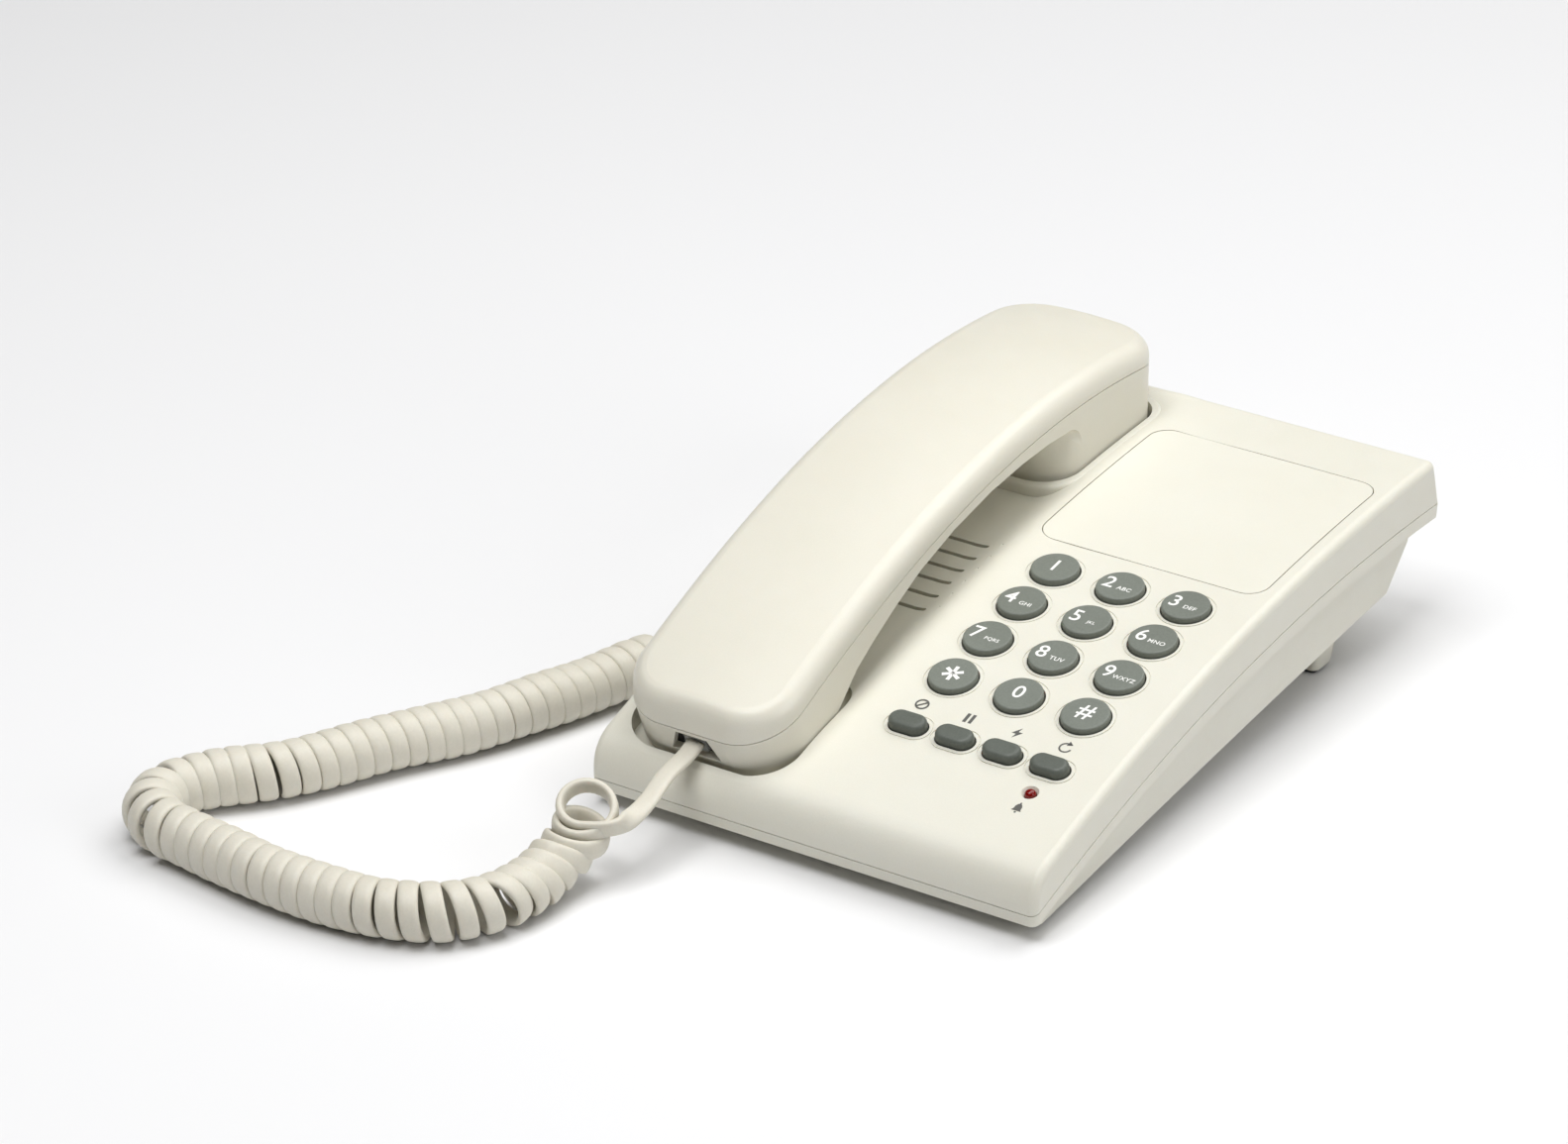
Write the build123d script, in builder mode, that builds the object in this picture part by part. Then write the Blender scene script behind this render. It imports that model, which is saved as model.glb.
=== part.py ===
from build123d import *
import os
from math import sin, cos, tan, atan, degrees, radians, sqrt

os.makedirs("parts", exist_ok=True)

# ---------------------------------------------------------------- driving dimensions (mm)
BASE_W = 129.3            # width of the base at the parting line
BASE_L = 203.8            # depth of the base, front edge to rear edge
HALF_W = BASE_W / 2
Y_F = -BASE_L / 2         # front edge in the part's frame; the origin is on the desk, under the middle of the base
WALL = 2.3                # moulded wall thickness
PART_GAP = 0.25           # witness gap between the two housings
FRONT_R = 10.0            # soft nose along the front of the deck
EDGE_R = 2.2              # rounding of the other deck edges
REAR_LEAN = 3.8 / 13.05   # the back leans forward above the parting line
RIM_H = 4.0               # height of the rim band below the parting line
TUB_HALF_W = 61.8         # the tub under the rim is narrower

KEY_D = 12.5              # round keys
KEY_PITCH_X = 19.05
KEY_PITCH_Y = 16.26
KEY_X = 27.2              # middle column
KEY_Y1 = 102.3            # first row, measured from the front edge
KEY_OUT = 1.6             # key top above the deck
KEY_TRAVEL = 1.2
FKEY_L, FKEY_W = 10.4, 6.0
FKEY_Y = 34.1
FKEY_X0, FKEY_PITCH = 7.2, 13.55
FKEY_OUT = 2.6
LAMP_X, LAMP_Y = 47.6, 25.2

PANEL_X0, PANEL_X1 = -6.0, 60.0
PANEL_Y0, PANEL_Y1 = 114.8, 179.2
PANEL_R = 6.0
PANEL_T = 1.5

SLOT_Y0, SLOT_PITCH = 77.9, 6.12
SLOT_X1 = -15.5

HS_X = -36.4              # handset centre line
HS_A = 23.8               # handset half width
HS_Y0, HS_Y1 = 2.72, 194.58
HS_R = 14.5               # plan corner radius
HS_WALL = 2.0
HS_TILT = 22.6            # lean of the mouthpiece end

HOOK_X, HOOK_Y = -36.4, 158.0
HOOK_TRAVEL = 4.0
KNOB_TRAVEL = 5.0
COIL_R = 7.4              # outside radius of the coiled part of the cord

BOSSES = [(-53, 13, 8.6, 4.2), (53, 13, 8.6, 4.2), (-50, 172, 25.8, 7.0), (50, 172, 25.8, 7.0)]   # x, y, parting height and screw reach


# ---------------------------------------------------------------- profiles; y is measured from the front edge
def deck(y):
    return 17.72 + 0.342 * y - 1.168e-3 * y**2 + 1.062e-6 * y**3


def deck_slope(y):
    return 0.342 - 2.336e-3 * y + 3.186e-6 * y**2


def seam(y):
    return 8.02 + 0.329 * y - 1.083e-3 * y**2 + 0.546e-6 * y**3


def tub(y):
    return 0.9 + 0.105 * y - 1.0e-4 * y**2


def rim_bottom(y):
    return seam(y) - RIM_H + 0.5 * (1 - y / BASE_L)


def smooth(t):
    t = min(max(t, 0.0), 1.0)
    return t * t * (3 - 2 * t)


def dip(x, y):
    """Depth of the soft trough that the handset lies in."""
    along = smooth((y - 14) / 34) * (1 - smooth((y - 186) / 12))
    right = smooth((-6.6 - x) / 11.5)
    left = smooth((x + 62.0) / 5.0)
    return 3.6 * along * right * left


def hs_seam(y):
    """Height of the handset's parting line."""
    t = (y - HS_Y0) / (HS_Y1 - HS_Y0)
    return 27.09 * (1 - t)**3 + 3 * 57.67 * t * (1 - t)**2 + 3 * 71.12 * t * t * (1 - t) + 59.97 * t**3


def hs_crown(y):
    t = (y - HS_Y0) / (HS_Y1 - HS_Y0)
    return 8.5 * (1 - t)**2 + 2 * 7.56 * t * (1 - t) + 7.55 * t * t


def at(x, y, z):
    """A point given from the front edge, in the part's frame."""
    return (x, y + Y_F, z)


def xz_plane(y):
    return Plane(origin=(0, y + Y_F, 0), x_dir=(1, 0, 0), z_dir=(0, -1, 0))


def yz_plane(x=0.0):
    """Side view plane: local x runs along +Y from the front edge, local y along +Z."""
    return Plane(origin=(x, Y_F, 0), x_dir=(0, 1, 0), z_dir=(1, 0, 0))


def deck_plane(x, y, below=0.0):
    """Plane lying on the deck at (x, y), local z square to the deck."""
    s = atan(deck_slope(y))
    n = Vector(0, -sin(s), cos(s))
    return Plane(origin=Vector(*at(x, y, deck(y))) - n * below, x_dir=(1, 0, 0), z_dir=n)


CHORD = radians(11.2)     # one flat plane for the circuit board under the arched deck
BOARD_DROP = 7.1


def board_plane(below=0.0, x=0.0):
    """Top face of the circuit board, lowered by below; local y runs up the slope, from 68 mm behind the front edge."""
    n = Vector(0, -sin(CHORD), cos(CHORD))
    return Plane(origin=Vector(*at(x, 68.2, 34.85)) - n * (BOARD_DROP + below), x_dir=(1, 0, 0), z_dir=n)


TL = radians(HS_TILT)


def mouth_plane(along=0.0, below=0.0, x=HS_X):
    """Plane of the handset's parting line at the mouthpiece; local y runs back and up."""
    u, n = Vector(0, cos(TL), sin(TL)), Vector(0, -sin(TL), cos(TL))
    return Plane(origin=Vector(*at(x, HS_Y0, 27.0)) + u * along - n * below, x_dir=(1, 0, 0), z_dir=n)


def mouth_front(along=0.0, below=0.0, x=HS_X):
    """Plane square to the mouthpiece's length; local x is +X, local y its upward normal, local z points out of the front."""
    u, n = Vector(0, cos(TL), sin(TL)), Vector(0, -sin(TL), cos(TL))
    return Plane(origin=Vector(*at(x, HS_Y0, 27.0)) + u * along - n * below, x_dir=(1, 0, 0), z_dir=-u)


def rear_plane(x, z, below=0.0):
    """Plane on the leaning back of the cover; local y runs up the wall."""
    a = atan(REAR_LEAN)
    n = Vector(0, cos(a), sin(a))
    return Plane(origin=Vector(*at(x, BASE_L - 0.1 - REAR_LEAN * (z - seam(BASE_L)), z)) - n * below, x_dir=(-1, 0, 0), z_dir=n)


def above_board(x, y):
    """Distance down the key's axis from the deck to the face of the board."""
    s = atan(deck_slope(y))
    n, b = Vector(0, -sin(s), cos(s)), board_plane()
    return (Vector(*at(x, y, deck(y))) - b.origin).dot(b.z_dir) / n.dot(b.z_dir)


def foot_of_key(x, y, height):
    """Where the key's axis meets the plane height above the board, in board coordinates."""
    s = atan(deck_slope(y))
    n, b = Vector(0, -sin(s), cos(s)), board_plane()
    d = above_board(x, y) - height / n.dot(b.z_dir)
    p = Vector(*at(x, y, deck(y))) - n * d - b.origin
    return (p.dot(b.x_dir), p.dot(b.y_dir))


def section_points(y, inset, drop):
    """Top edge of one section of the base, from left to right."""
    w = HALF_W - inset
    xs = [-w, -62, -60, -58, -56, -52, -44, -36, -28, -21, -18, -15, -12, -9, -6.5, 0, 20, 40, w]
    return [(x, deck(y) - dip(x, y) - drop) for x in xs if abs(x) <= w]


def spaced(y0, y1, n):
    return [y0 + (y1 - y0) * i / (n - 1) for i in range(n)]


def save(piece, name):
    piece.part.label = name
    export_step(piece.part, "parts/%s.step" % name)


STATIONS = [0, 8, 16, 28, 40, 54, 70, 90, 110, 130, 150, 168, 182, 192, BASE_L]
INNER_STATIONS = [WALL] + STATIONS[1:-1] + [BASE_L - 1.0]
DIAL = [(n, r, c) for r, row in enumerate((("1", "2", "3"), ("4", "5", "6"), ("7", "8", "9"), ("star", "0", "hash"))) for c, n in enumerate(row)]
DIAL_AT = {n: (KEY_X + (c - 1) * KEY_PITCH_X, KEY_Y1 - r * KEY_PITCH_Y) for n, r, c in DIAL}
FUNCTION = ["mute", "pause", "flash", "redial"]
FUNCTION_AT = {n: (FKEY_X0 + i * FKEY_PITCH, FKEY_Y) for i, n in enumerate(FUNCTION)}
BOARD_SCREWS = [(0.5, -42.5), (57.0, -42.5), (0.5, 44.0), (57.0, 44.0)]       # on the board plane

# ================================================================ upper cover
# outer form: straight sides, arched deck, trough for the handset, soft nose
with BuildPart() as cover_form:
    for y in STATIONS:
        with BuildSketch(xz_plane(y)):
            with BuildLine():
                pts = section_points(y, 0, 0)
                Line((-HALF_W, seam(y)), (HALF_W, seam(y)))
                Line((HALF_W, seam(y)), pts[-1])
                Spline(*reversed(pts))
                Line(pts[0], (-HALF_W, seam(y)))
            make_face()
    loft()
    with BuildSketch(yz_plane()):
        with BuildLine():
            Polyline((BASE_L - 0.1 + REAR_LEAN * 5, seam(BASE_L) - 5), (BASE_L - 0.1 - REAR_LEAN * 25, seam(BASE_L) + 25), (BASE_L + 20, seam(BASE_L) + 25), (BASE_L + 20, seam(BASE_L) - 5), close=True)
        make_face()
    extrude(amount=HALF_W + 5, both=True, mode=Mode.SUBTRACT)
    fillet([e for e in cover_form.edges() if e.length > 120 and abs(e.center().Y - Y_F) < 0.5 and e.center().Z > 12], FRONT_R)
    fillet([e for e in cover_form.edges() if e.length > 120 and e.center().Y > 90 and e.center().Z > 44], EDGE_R)
    side = [e for e in cover_form.edges() if abs(abs(e.center().X) - HALF_W) < 0.01 and e.bounding_box().size.X < 0.01]
    side = [e for e in side if not (e.length > 150 and e.center().Z < 31)]
    fillet(side, EDGE_R)

# hollow of the cover
with BuildPart() as cover_hollow:
    for y in INNER_STATIONS:
        with BuildSketch(xz_plane(y)):
            with BuildLine():
                w = HALF_W - WALL
                z0 = seam(y) - 3
                pts = section_points(y, WALL, WALL)
                Line((-w, z0), (w, z0))
                Line((w, z0), pts[-1])
                Spline(*reversed(pts))
                Line(pts[0], (-w, z0))
            make_face()
    loft()
    with BuildSketch(yz_plane()):
        with BuildLine():
            d = 0.1 + WALL / cos(atan(REAR_LEAN))
            Polyline((BASE_L - d + REAR_LEAN * 8, seam(BASE_L) - 8), (BASE_L - d - REAR_LEAN * 25, seam(BASE_L) + 25), (BASE_L + 20, seam(BASE_L) + 25), (BASE_L + 20, seam(BASE_L) - 8), close=True)
        make_face()
    extrude(amount=HALF_W + 5, both=True, mode=Mode.SUBTRACT)
    fillet([e for e in cover_hollow.edges() if e.length > 100 and abs(e.center().Y - Y_F - WALL) < 0.5 and e.center().Z > 11], FRONT_R - WALL)

# everything that stands inside the cover: well walls, lip around the rear well, screw posts, sounder ring
MOUTH_WELL = (-60.35, -12.2, 4.5, 46.5)     # x0, x1, y0, y1 of the hollow under the mouthpiece
EAR_WELL = (-60.35, -12.0, 137.6, 193.4)


def well_floor(y):
    return 14.55 + (y - 7.9) * 0.3175


with BuildPart() as cover_inside:
    # tub of the mouthpiece well
    with BuildSketch(Plane.XY.offset(8)):
        with Locations((sum(MOUTH_WELL[:2]) / 2, sum(MOUTH_WELL[2:]) / 2 + 0.35 + Y_F)):
            RectangleRounded(MOUTH_WELL[1] - MOUTH_WELL[0] + 2 * WALL, MOUTH_WELL[3] - MOUTH_WELL[2] + 2 * WALL - 0.7, 12.5)
    extrude(amount=40)
    with BuildSketch(yz_plane()):
        with BuildLine():
            Polyline((-5, 0), (-5, well_floor(-5) - WALL), (60, well_floor(60) - WALL), (60, 0), close=True)
        make_face()
    extrude(amount=HALF_W, both=True, mode=Mode.SUBTRACT)
    # tub of the earpiece well, with a raised lip
    with BuildSketch(Plane.XY.offset(41.6 - WALL)):
        with Locations((sum(EAR_WELL[:2]) / 2 - 1.0, sum(EAR_WELL[2:]) / 2 + Y_F)):
            RectangleRounded(EAR_WELL[1] - EAR_WELL[0] + 2 * WALL + 2.0, EAR_WELL[3] - EAR_WELL[2] + 2 * WALL, 12.5)
    extrude(amount=20)

with BuildPart() as lip_limit:
    with BuildSketch(yz_plane()):
        with BuildLine():
            ys = spaced(120, 200.0, 9)
            Spline(*[(y, deck(y) - 0.75) for y in ys])
            Polyline((200.0, deck(200) - 0.75), (200.0, 20), (120, 20), (120, deck(120) - 0.75))
        make_face()
    extrude(amount=HALF_W + 10, both=True)

with BuildPart() as lip:
    with BuildSketch(Plane.XY.offset(41.6 - WALL)):
        with Locations((sum(EAR_WELL[:2]) / 2, sum(EAR_WELL[2:]) / 2 + Y_F)):
            RectangleRounded(EAR_WELL[1] - EAR_WELL[0] + 2 * WALL, EAR_WELL[3] - EAR_WELL[2] + 2 * WALL, 12.5)
    extrude(amount=20)
    add(lip_limit.part, mode=Mode.INTERSECT)
    with BuildSketch(Plane.XY.offset(30)):
        with Locations((-HALF_W - 20 + 2.4, 60)):
            Rectangle(40, 200)
    extrude(amount=30, mode=Mode.SUBTRACT)
    crest = [e for e in lip.edges() if e.center().Z > 44 and e.bounding_box().min.Z > 43.5 and e.center().X > -HALF_W + 3]
    fillet(crest, 1.1)

with BuildPart() as posts:
    for x, y, z, reach in BOSSES:
        with BuildSketch(Plane(origin=at(x, y, z + 0.1))):
            Circle(3.6)
        extrude(amount=45)
    for x, v in BOARD_SCREWS:
        with BuildSketch(board_plane(-0.05)):
            with Locations((x, v)):
                Circle(2.6)
        extrude(amount=20)
    # ring that holds the sounder under its slots
    with BuildSketch(deck_plane(HS_X, 93.0, 12.0)):
        Circle(17.4)
        Circle(15.6, mode=Mode.SUBTRACT)
    extrude(amount=14)

with BuildPart() as upper_cover:
    add(cover_form.part)
    add(cover_hollow.part, mode=Mode.SUBTRACT)
    add(cover_inside.part)
    add(posts.part)
    add(cover_form.part, mode=Mode.INTERSECT)
    add(lip.part)
    # pockets of the two wells
    with BuildSketch(Plane.XY.offset(8)):
        with Locations((sum(MOUTH_WELL[:2]) / 2, sum(MOUTH_WELL[2:]) / 2 + Y_F)):
            RectangleRounded(MOUTH_WELL[1] - MOUTH_WELL[0], MOUTH_WELL[3] - MOUTH_WELL[2], 11.0)
    pocket = extrude(amount=60, mode=Mode.PRIVATE)
    with BuildSketch(yz_plane(), mode=Mode.PRIVATE) as floor_side:
        with BuildLine():
            Polyline((-5, 70), (-5, well_floor(-5)), (60, well_floor(60)), (60, 70), close=True)
        make_face()
    above_floor = extrude(floor_side.sketch, amount=HALF_W, both=True, mode=Mode.PRIVATE)
    add(pocket & above_floor, mode=Mode.SUBTRACT)
    with BuildSketch(Plane.XY.offset(41.6)):
        with Locations((sum(EAR_WELL[:2]) / 2, sum(EAR_WELL[2:]) / 2 + Y_F)):
            RectangleRounded(EAR_WELL[1] - EAR_WELL[0], EAR_WELL[3] - EAR_WELL[2], 11.0)
    extrude(amount=20, mode=Mode.SUBTRACT)
    # opening for the hook plunger
    with BuildSketch(Plane.XY.offset(36)):
        with Locations(at(HOOK_X, HOOK_Y, 0)[:2]):
            RectangleRounded(9.8, 6.8, 1.4)
    extrude(amount=10, mode=Mode.SUBTRACT)
    # key openings and the fine rings around them
    for n, (x, y) in DIAL_AT.items():
        with BuildSketch(deck_plane(x, y, 6)):
            Circle(KEY_D / 2 + 0.4)
        extrude(amount=12, mode=Mode.SUBTRACT)
        with BuildSketch(deck_plane(x, y, 0.28)):
            Circle(KEY_D / 2 + 1.45)
            Circle(KEY_D / 2 + 1.12, mode=Mode.SUBTRACT)
        extrude(amount=3, mode=Mode.SUBTRACT)
    for n, (x, y) in FUNCTION_AT.items():
        with BuildSketch(deck_plane(x, y, 6)):
            SlotOverall(FKEY_L + 0.7, FKEY_W + 0.7)
        extrude(amount=12, mode=Mode.SUBTRACT)
        with BuildSketch(deck_plane(x, y, 0.28)):
            SlotOverall(FKEY_L + 3.0, FKEY_W + 3.0)
            SlotOverall(FKEY_L + 2.36, FKEY_W + 2.36, mode=Mode.SUBTRACT)
        extrude(amount=3, mode=Mode.SUBTRACT)
    # lamp hole with a dished rim
    with BuildSketch(deck_plane(LAMP_X, LAMP_Y, 6)):
        Circle(1.65)
    extrude(amount=12, mode=Mode.SUBTRACT)
    with BuildSketch(deck_plane(LAMP_X, LAMP_Y, -0.5)):
        Circle(2.65)
    extrude(amount=-1.5, taper=35, mode=Mode.SUBTRACT)
    # sounder slots and the little end dimples
    for i in range(6):
        y = SLOT_Y0 + i * SLOT_PITCH
        with BuildSketch(deck_plane(-35.0, y, 8)):
            SlotOverall(39.0, 1.3)
        extrude(amount=12, mode=Mode.SUBTRACT)
        with BuildSketch(deck_plane(-12.4, y, 1.6)):
            SlotOverall(2.6, 1.3)
        extrude(amount=6, mode=Mode.SUBTRACT)
    # shallow seat of the index panel
    with BuildSketch(Plane.XY.offset(20)):
        with Locations(((PANEL_X0 + PANEL_X1) / 2, (PANEL_Y0 + PANEL_Y1) / 2 + Y_F)):
            RectangleRounded(PANEL_X1 - PANEL_X0, PANEL_Y1 - PANEL_Y0, PANEL_R)
    seat = extrude(amount=60, mode=Mode.PRIVATE)
    with BuildSketch(yz_plane(), mode=Mode.PRIVATE) as seat_side:
        with BuildLine():
            ys = spaced(105, 190, 12)
            Spline(*[(y, deck(y) - PANEL_T - 0.02) for y in ys])
            Polyline((190, deck(190) - PANEL_T - 0.02), (190, 70), (105, 70), (105, deck(105) - PANEL_T - 0.02))
        make_face()
    above_seat = extrude(seat_side.sketch, amount=HALF_W + 5, both=True, mode=Mode.PRIVATE)
    add(seat & above_seat, mode=Mode.SUBTRACT)
    # pilot holes of the posts
    for x, y, z, reach in BOSSES:
        with BuildSketch(Plane(origin=at(x, y, z - 1))):
            Circle(1.55)
        extrude(amount=reach + 1.2, mode=Mode.SUBTRACT)
    for x, v in BOARD_SCREWS:
        with BuildSketch(board_plane(0.5)):
            with Locations((x, v)):
                Circle(1.05)
        extrude(amount=4.2, mode=Mode.SUBTRACT)
    # slot of the volume knob in the leaning back
    with BuildSketch(rear_plane(30, 41.0, -1)):
        SlotOverall(3.4 + KNOB_TRAVEL + 3.4, 3.4)
    extrude(amount=-5, mode=Mode.SUBTRACT)
save(upper_cover, "upper_cover")

# ================================================================ index panel, follows the arch of the deck
with BuildPart() as index_panel:
    with BuildSketch(yz_plane()):
        with BuildLine():
            ys = spaced(105, 190, 12)
            Spline(*[(y, deck(y)) for y in ys])
            Line((190, deck(190)), (190, deck(190) - PANEL_T))
            Spline(*[(y, deck(y) - PANEL_T) for y in reversed(ys)])
            Line((105, deck(105) - PANEL_T), (105, deck(105)))
        make_face()
    extrude(amount=HALF_W, both=True)
    with BuildSketch(Plane.XY.offset(20)):
        with Locations(((PANEL_X0 + PANEL_X1) / 2, (PANEL_Y0 + PANEL_Y1) / 2 + Y_F)):
            RectangleRounded(PANEL_X1 - PANEL_X0 - 0.6, PANEL_Y1 - PANEL_Y0 - 0.6, PANEL_R - 0.3)
    extrude(amount=60, mode=Mode.INTERSECT)
save(index_panel, "index_panel")

# ================================================================ lower housing
with BuildPart() as lower_housing:
    # rim band
    with BuildSketch(yz_plane()):
        with BuildLine():
            ys = spaced(0, BASE_L, 12)
            Spline(*[(y, seam(y) - PART_GAP) for y in ys])
            Line((BASE_L, seam(BASE_L) - PART_GAP), (BASE_L - 0.5, rim_bottom(BASE_L - 0.5)))
            Spline(*[(y, rim_bottom(y)) for y in reversed(spaced(0.6, BASE_L - 0.5, 12))])
            Line((0.6, rim_bottom(0.6)), (0, seam(0) - PART_GAP))
        make_face()
    extrude(amount=HALF_W, both=True)
    fillet([e for e in lower_housing.edges() if e.length < 6 and abs(abs(e.center().X) - HALF_W) < 0.01], EDGE_R)
    # inclined tub
    with BuildSketch(yz_plane()):
        with BuildLine():
            Polyline((2.6, seam(2.6) - 1), (2.6, 3.9), (8, tub(8)))
            Spline(*[(y, tub(y)) for y in spaced(8, 180.8, 9)])
            Polyline((180.8, tub(180.8)), (191.5, 27.3), (192.5, seam(192.5) - 1))
            Spline(*[(y, seam(y) - 1) for y in reversed(spaced(2.6, 192.5, 12))])
        make_face()
    extrude(amount=TUB_HALF_W, both=True)
    # rear legs
    for s in (-1, 1):
        with BuildSketch(Plane(origin=(s * 46.4, 162.6 + Y_F, 1.3))):
            RectangleRounded(15.6, 9.0, 2.0)
        with BuildSketch(Plane(origin=(s * 46.4, 163.6 + Y_F, 18.0))):
            RectangleRounded(19.0, 13.0, 2.0)
        loft()
    # hollow of the tub
    with BuildSketch(yz_plane()):
        with BuildLine():
            Polyline((5.2, 60), (5.2, 6.4), (10, tub(10) + WALL))
            Spline(*[(y, tub(y) + WALL) for y in spaced(10, 179.6, 9)])
            Polyline((179.6, tub(179.6) + WALL), (188.4, 28.2), (188.4, 60), (5.2, 60))
        make_face()
    extrude(amount=TUB_HALF_W - WALL, both=True, mode=Mode.SUBTRACT)
    # hollow of the rim
    with BuildSketch(yz_plane()):
        with BuildLine():
            Line((WALL, 60), (WALL, seam(WALL) - 1.9))
            Spline(*[(y, seam(y) - 1.9) for y in spaced(WALL, BASE_L - WALL, 12)])
            Polyline((BASE_L - WALL, seam(BASE_L - WALL) - 1.9), (BASE_L - WALL, 60), (WALL, 60))
        make_face()
    extrude(amount=HALF_W - WALL, both=True, mode=Mode.SUBTRACT)

with BuildPart() as tongue:
    # locating tongue inside the cover's wall
    with BuildSketch(yz_plane()):
        with BuildLine():
            Line((2.55, seam(2.55) + 1.5), (2.55, seam(2.55) - 2.1))
            Spline(*[(y, seam(y) - 2.1) for y in spaced(2.55, 200.2, 12)])
            Line((200.2, seam(200.2) - 2.1), (200.2, seam(200.2) + 1.5))
            Spline(*[(y, seam(y) + 1.5) for y in reversed(spaced(2.55, 200.2, 12))])
        make_face()
    extrude(amount=HALF_W - WALL - 0.2, both=True)
    with BuildSketch(Plane.XY):
        with Locations((0, (3.75 + 199.0) / 2 + Y_F)):
            Rectangle(2 * (HALF_W - WALL - 1.4), 199.0 - 3.75)
    extrude(amount=60, mode=Mode.SUBTRACT)

with BuildPart() as housing_parts:
    for x, y, z, reach in BOSSES:
        with BuildSketch(Plane(origin=at(x, y, z))):
            Circle(4.3)
        extrude(amount=-(z - tub(y) - 0.6))
    # ribs that stand the ballast, jacks and hook switch off the floor
    for x in (-46, -27):
        with BuildSketch(Plane(origin=at(x, HOOK_Y, 18.2))):
            Rectangle(2.0, 12.0)
        extrude(amount=-2.6)
with BuildPart() as housing:
    add(lower_housing.part)
    add(tongue.part)
    add(housing_parts.part)
    for x, y, z, reach in BOSSES:
        with BuildSketch(Plane(origin=at(x, y, z + 1))):
            Circle(1.75)
        extrude(amount=-30, mode=Mode.SUBTRACT)
        with BuildSketch(Plane(origin=at(x, y, z - 2.8))):
            Circle(3.3)
        extrude(amount=-30, mode=Mode.SUBTRACT)
    # pockets for the front feet
    for s in (-1, 1):
        with BuildSketch(Plane(origin=at(s * 40, 15, -1))):
            Circle(6.25)
        extrude(amount=tub(15) + 1 + 1.0, mode=Mode.SUBTRACT)
    # opening for the handset cord plug in the left wall
    with BuildSketch(Plane(origin=at(-HALF_W - 5, 85, 17.0), x_dir=(0, -1, 0), z_dir=(-1, 0, 0))):
        Rectangle(9.6, 8.2)
    extrude(amount=-12, mode=Mode.SUBTRACT)
    # opening for the line plug in the sloping back
    with BuildSketch(Plane(origin=at(20, 196, 23.5), x_dir=(-1, 0, 0), z_dir=(0, 1, 0))):
        Rectangle(12.4, 8.4)
    extrude(amount=-18, mode=Mode.SUBTRACT)
save(housing, "lower_housing")

# ================================================================ feet
with BuildPart() as front_feet:
    for s in (-1, 1):
        with BuildSketch(Plane(origin=at(s * 40, 15, 0))):
            Circle(6.1)
        extrude(amount=tub(15) + 0.95)
    chamfer(front_feet.faces().filter_by(Axis.Z).group_by(Axis.Z)[0].edges(), 0.5)
save(front_feet, "front_feet")

with BuildPart() as rear_feet:
    for s in (-1, 1):
        with BuildSketch(Plane(origin=(s * 46.4, 162.6 + Y_F, 0))):
            RectangleRounded(13.6, 7.4, 1.6)
        extrude(amount=1.28)
    chamfer(rear_feet.faces().filter_by(Axis.Z).group_by(Axis.Z)[0].edges(), 0.3)
save(rear_feet, "rear_feet")

# ================================================================ screws of the base
with BuildPart() as base_screws:
    for x, y, z, reach in BOSSES:
        with BuildSketch(Plane(origin=at(x, y, z - 4.7))):
            Circle(2.8)
            Rectangle(3.2, 0.7, mode=Mode.SUBTRACT)
            Rectangle(0.7, 3.2, mode=Mode.SUBTRACT)
        extrude(amount=0.9)
        with BuildSketch(Plane(origin=at(x, y, z - 3.8))):
            Circle(2.8)
        extrude(amount=0.98)
        with BuildSketch(Plane(origin=at(x, y, z - 2.82))):
            Circle(1.5)
        extrude(amount=2.82 + reach - 0.3)
save(base_screws, "base_screws")

with BuildPart() as board_screws:
    for x, v in BOARD_SCREWS:
        with BuildSketch(board_plane(1.63)):
            with Locations((x, v)):
                Circle(2.1)
        extrude(amount=-1.4)
        with BuildSketch(board_plane(1.63)):
            with Locations((x, v)):
                Circle(1.0)
        extrude(amount=1.63 + 3.3)
save(board_screws, "board_screws")

# ================================================================ keys
for n, (x, y) in DIAL_AT.items():
    with BuildPart() as key:
        with BuildSketch(deck_plane(x, y, 3.25)):
            Circle(KEY_D / 2)
        extrude(amount=3.25 + KEY_OUT)
        fillet(key.faces().sort_by(lambda f: f.center().Z)[-1].edges(), 0.5)
        with BuildSketch(deck_plane(x, y, 3.25)):
            Circle(7.2)
        extrude(amount=0.8)
        with BuildSketch(deck_plane(x, y, above_board(x, y) - 2.85)):
            Circle(2.8)
        extrude(amount=above_board(x, y) - 2.85 - 3.0)
    save(key, "key_" + n)

for n, (x, y) in FUNCTION_AT.items():
    with BuildPart() as key:
        with BuildSketch(deck_plane(x, y, 3.25)):
            SlotOverall(FKEY_L, FKEY_W)
        extrude(amount=3.25 + FKEY_OUT)
        fillet(key.faces().sort_by(lambda f: f.center().Z)[-1].edges(), 1.3)
        with BuildSketch(deck_plane(x, y, 3.25)):
            SlotOverall(FKEY_L + 1.9, FKEY_W + 1.9)
        extrude(amount=0.8)
        with BuildSketch(deck_plane(x, y, above_board(x, y) - 2.85)):
            Circle(2.0)
        extrude(amount=above_board(x, y) - 2.85 - 3.0)
    save(key, "key_" + n)

# ================================================================ rubber key mat, with one dome under each key
with BuildPart() as key_membrane:
    with BuildSketch(board_plane(-0.02)):
        with Locations((28.6, 0.8)):
            RectangleRounded(58.6, 80.0, 3)
    extrude(amount=0.98)
    for x, y in DIAL_AT.values():
        with BuildSketch(board_plane(-1.0)):
            with Locations(foot_of_key(x, y, 1.8)):
                Circle(4.2)
        extrude(amount=1.6, taper=26)
    for x, y in FUNCTION_AT.values():
        with BuildSketch(board_plane(-1.0)):
            with Locations(foot_of_key(x, y, 1.8)):
                Circle(3.2)
        extrude(amount=1.6, taper=26)
save(key_membrane, "key_membrane")

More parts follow.
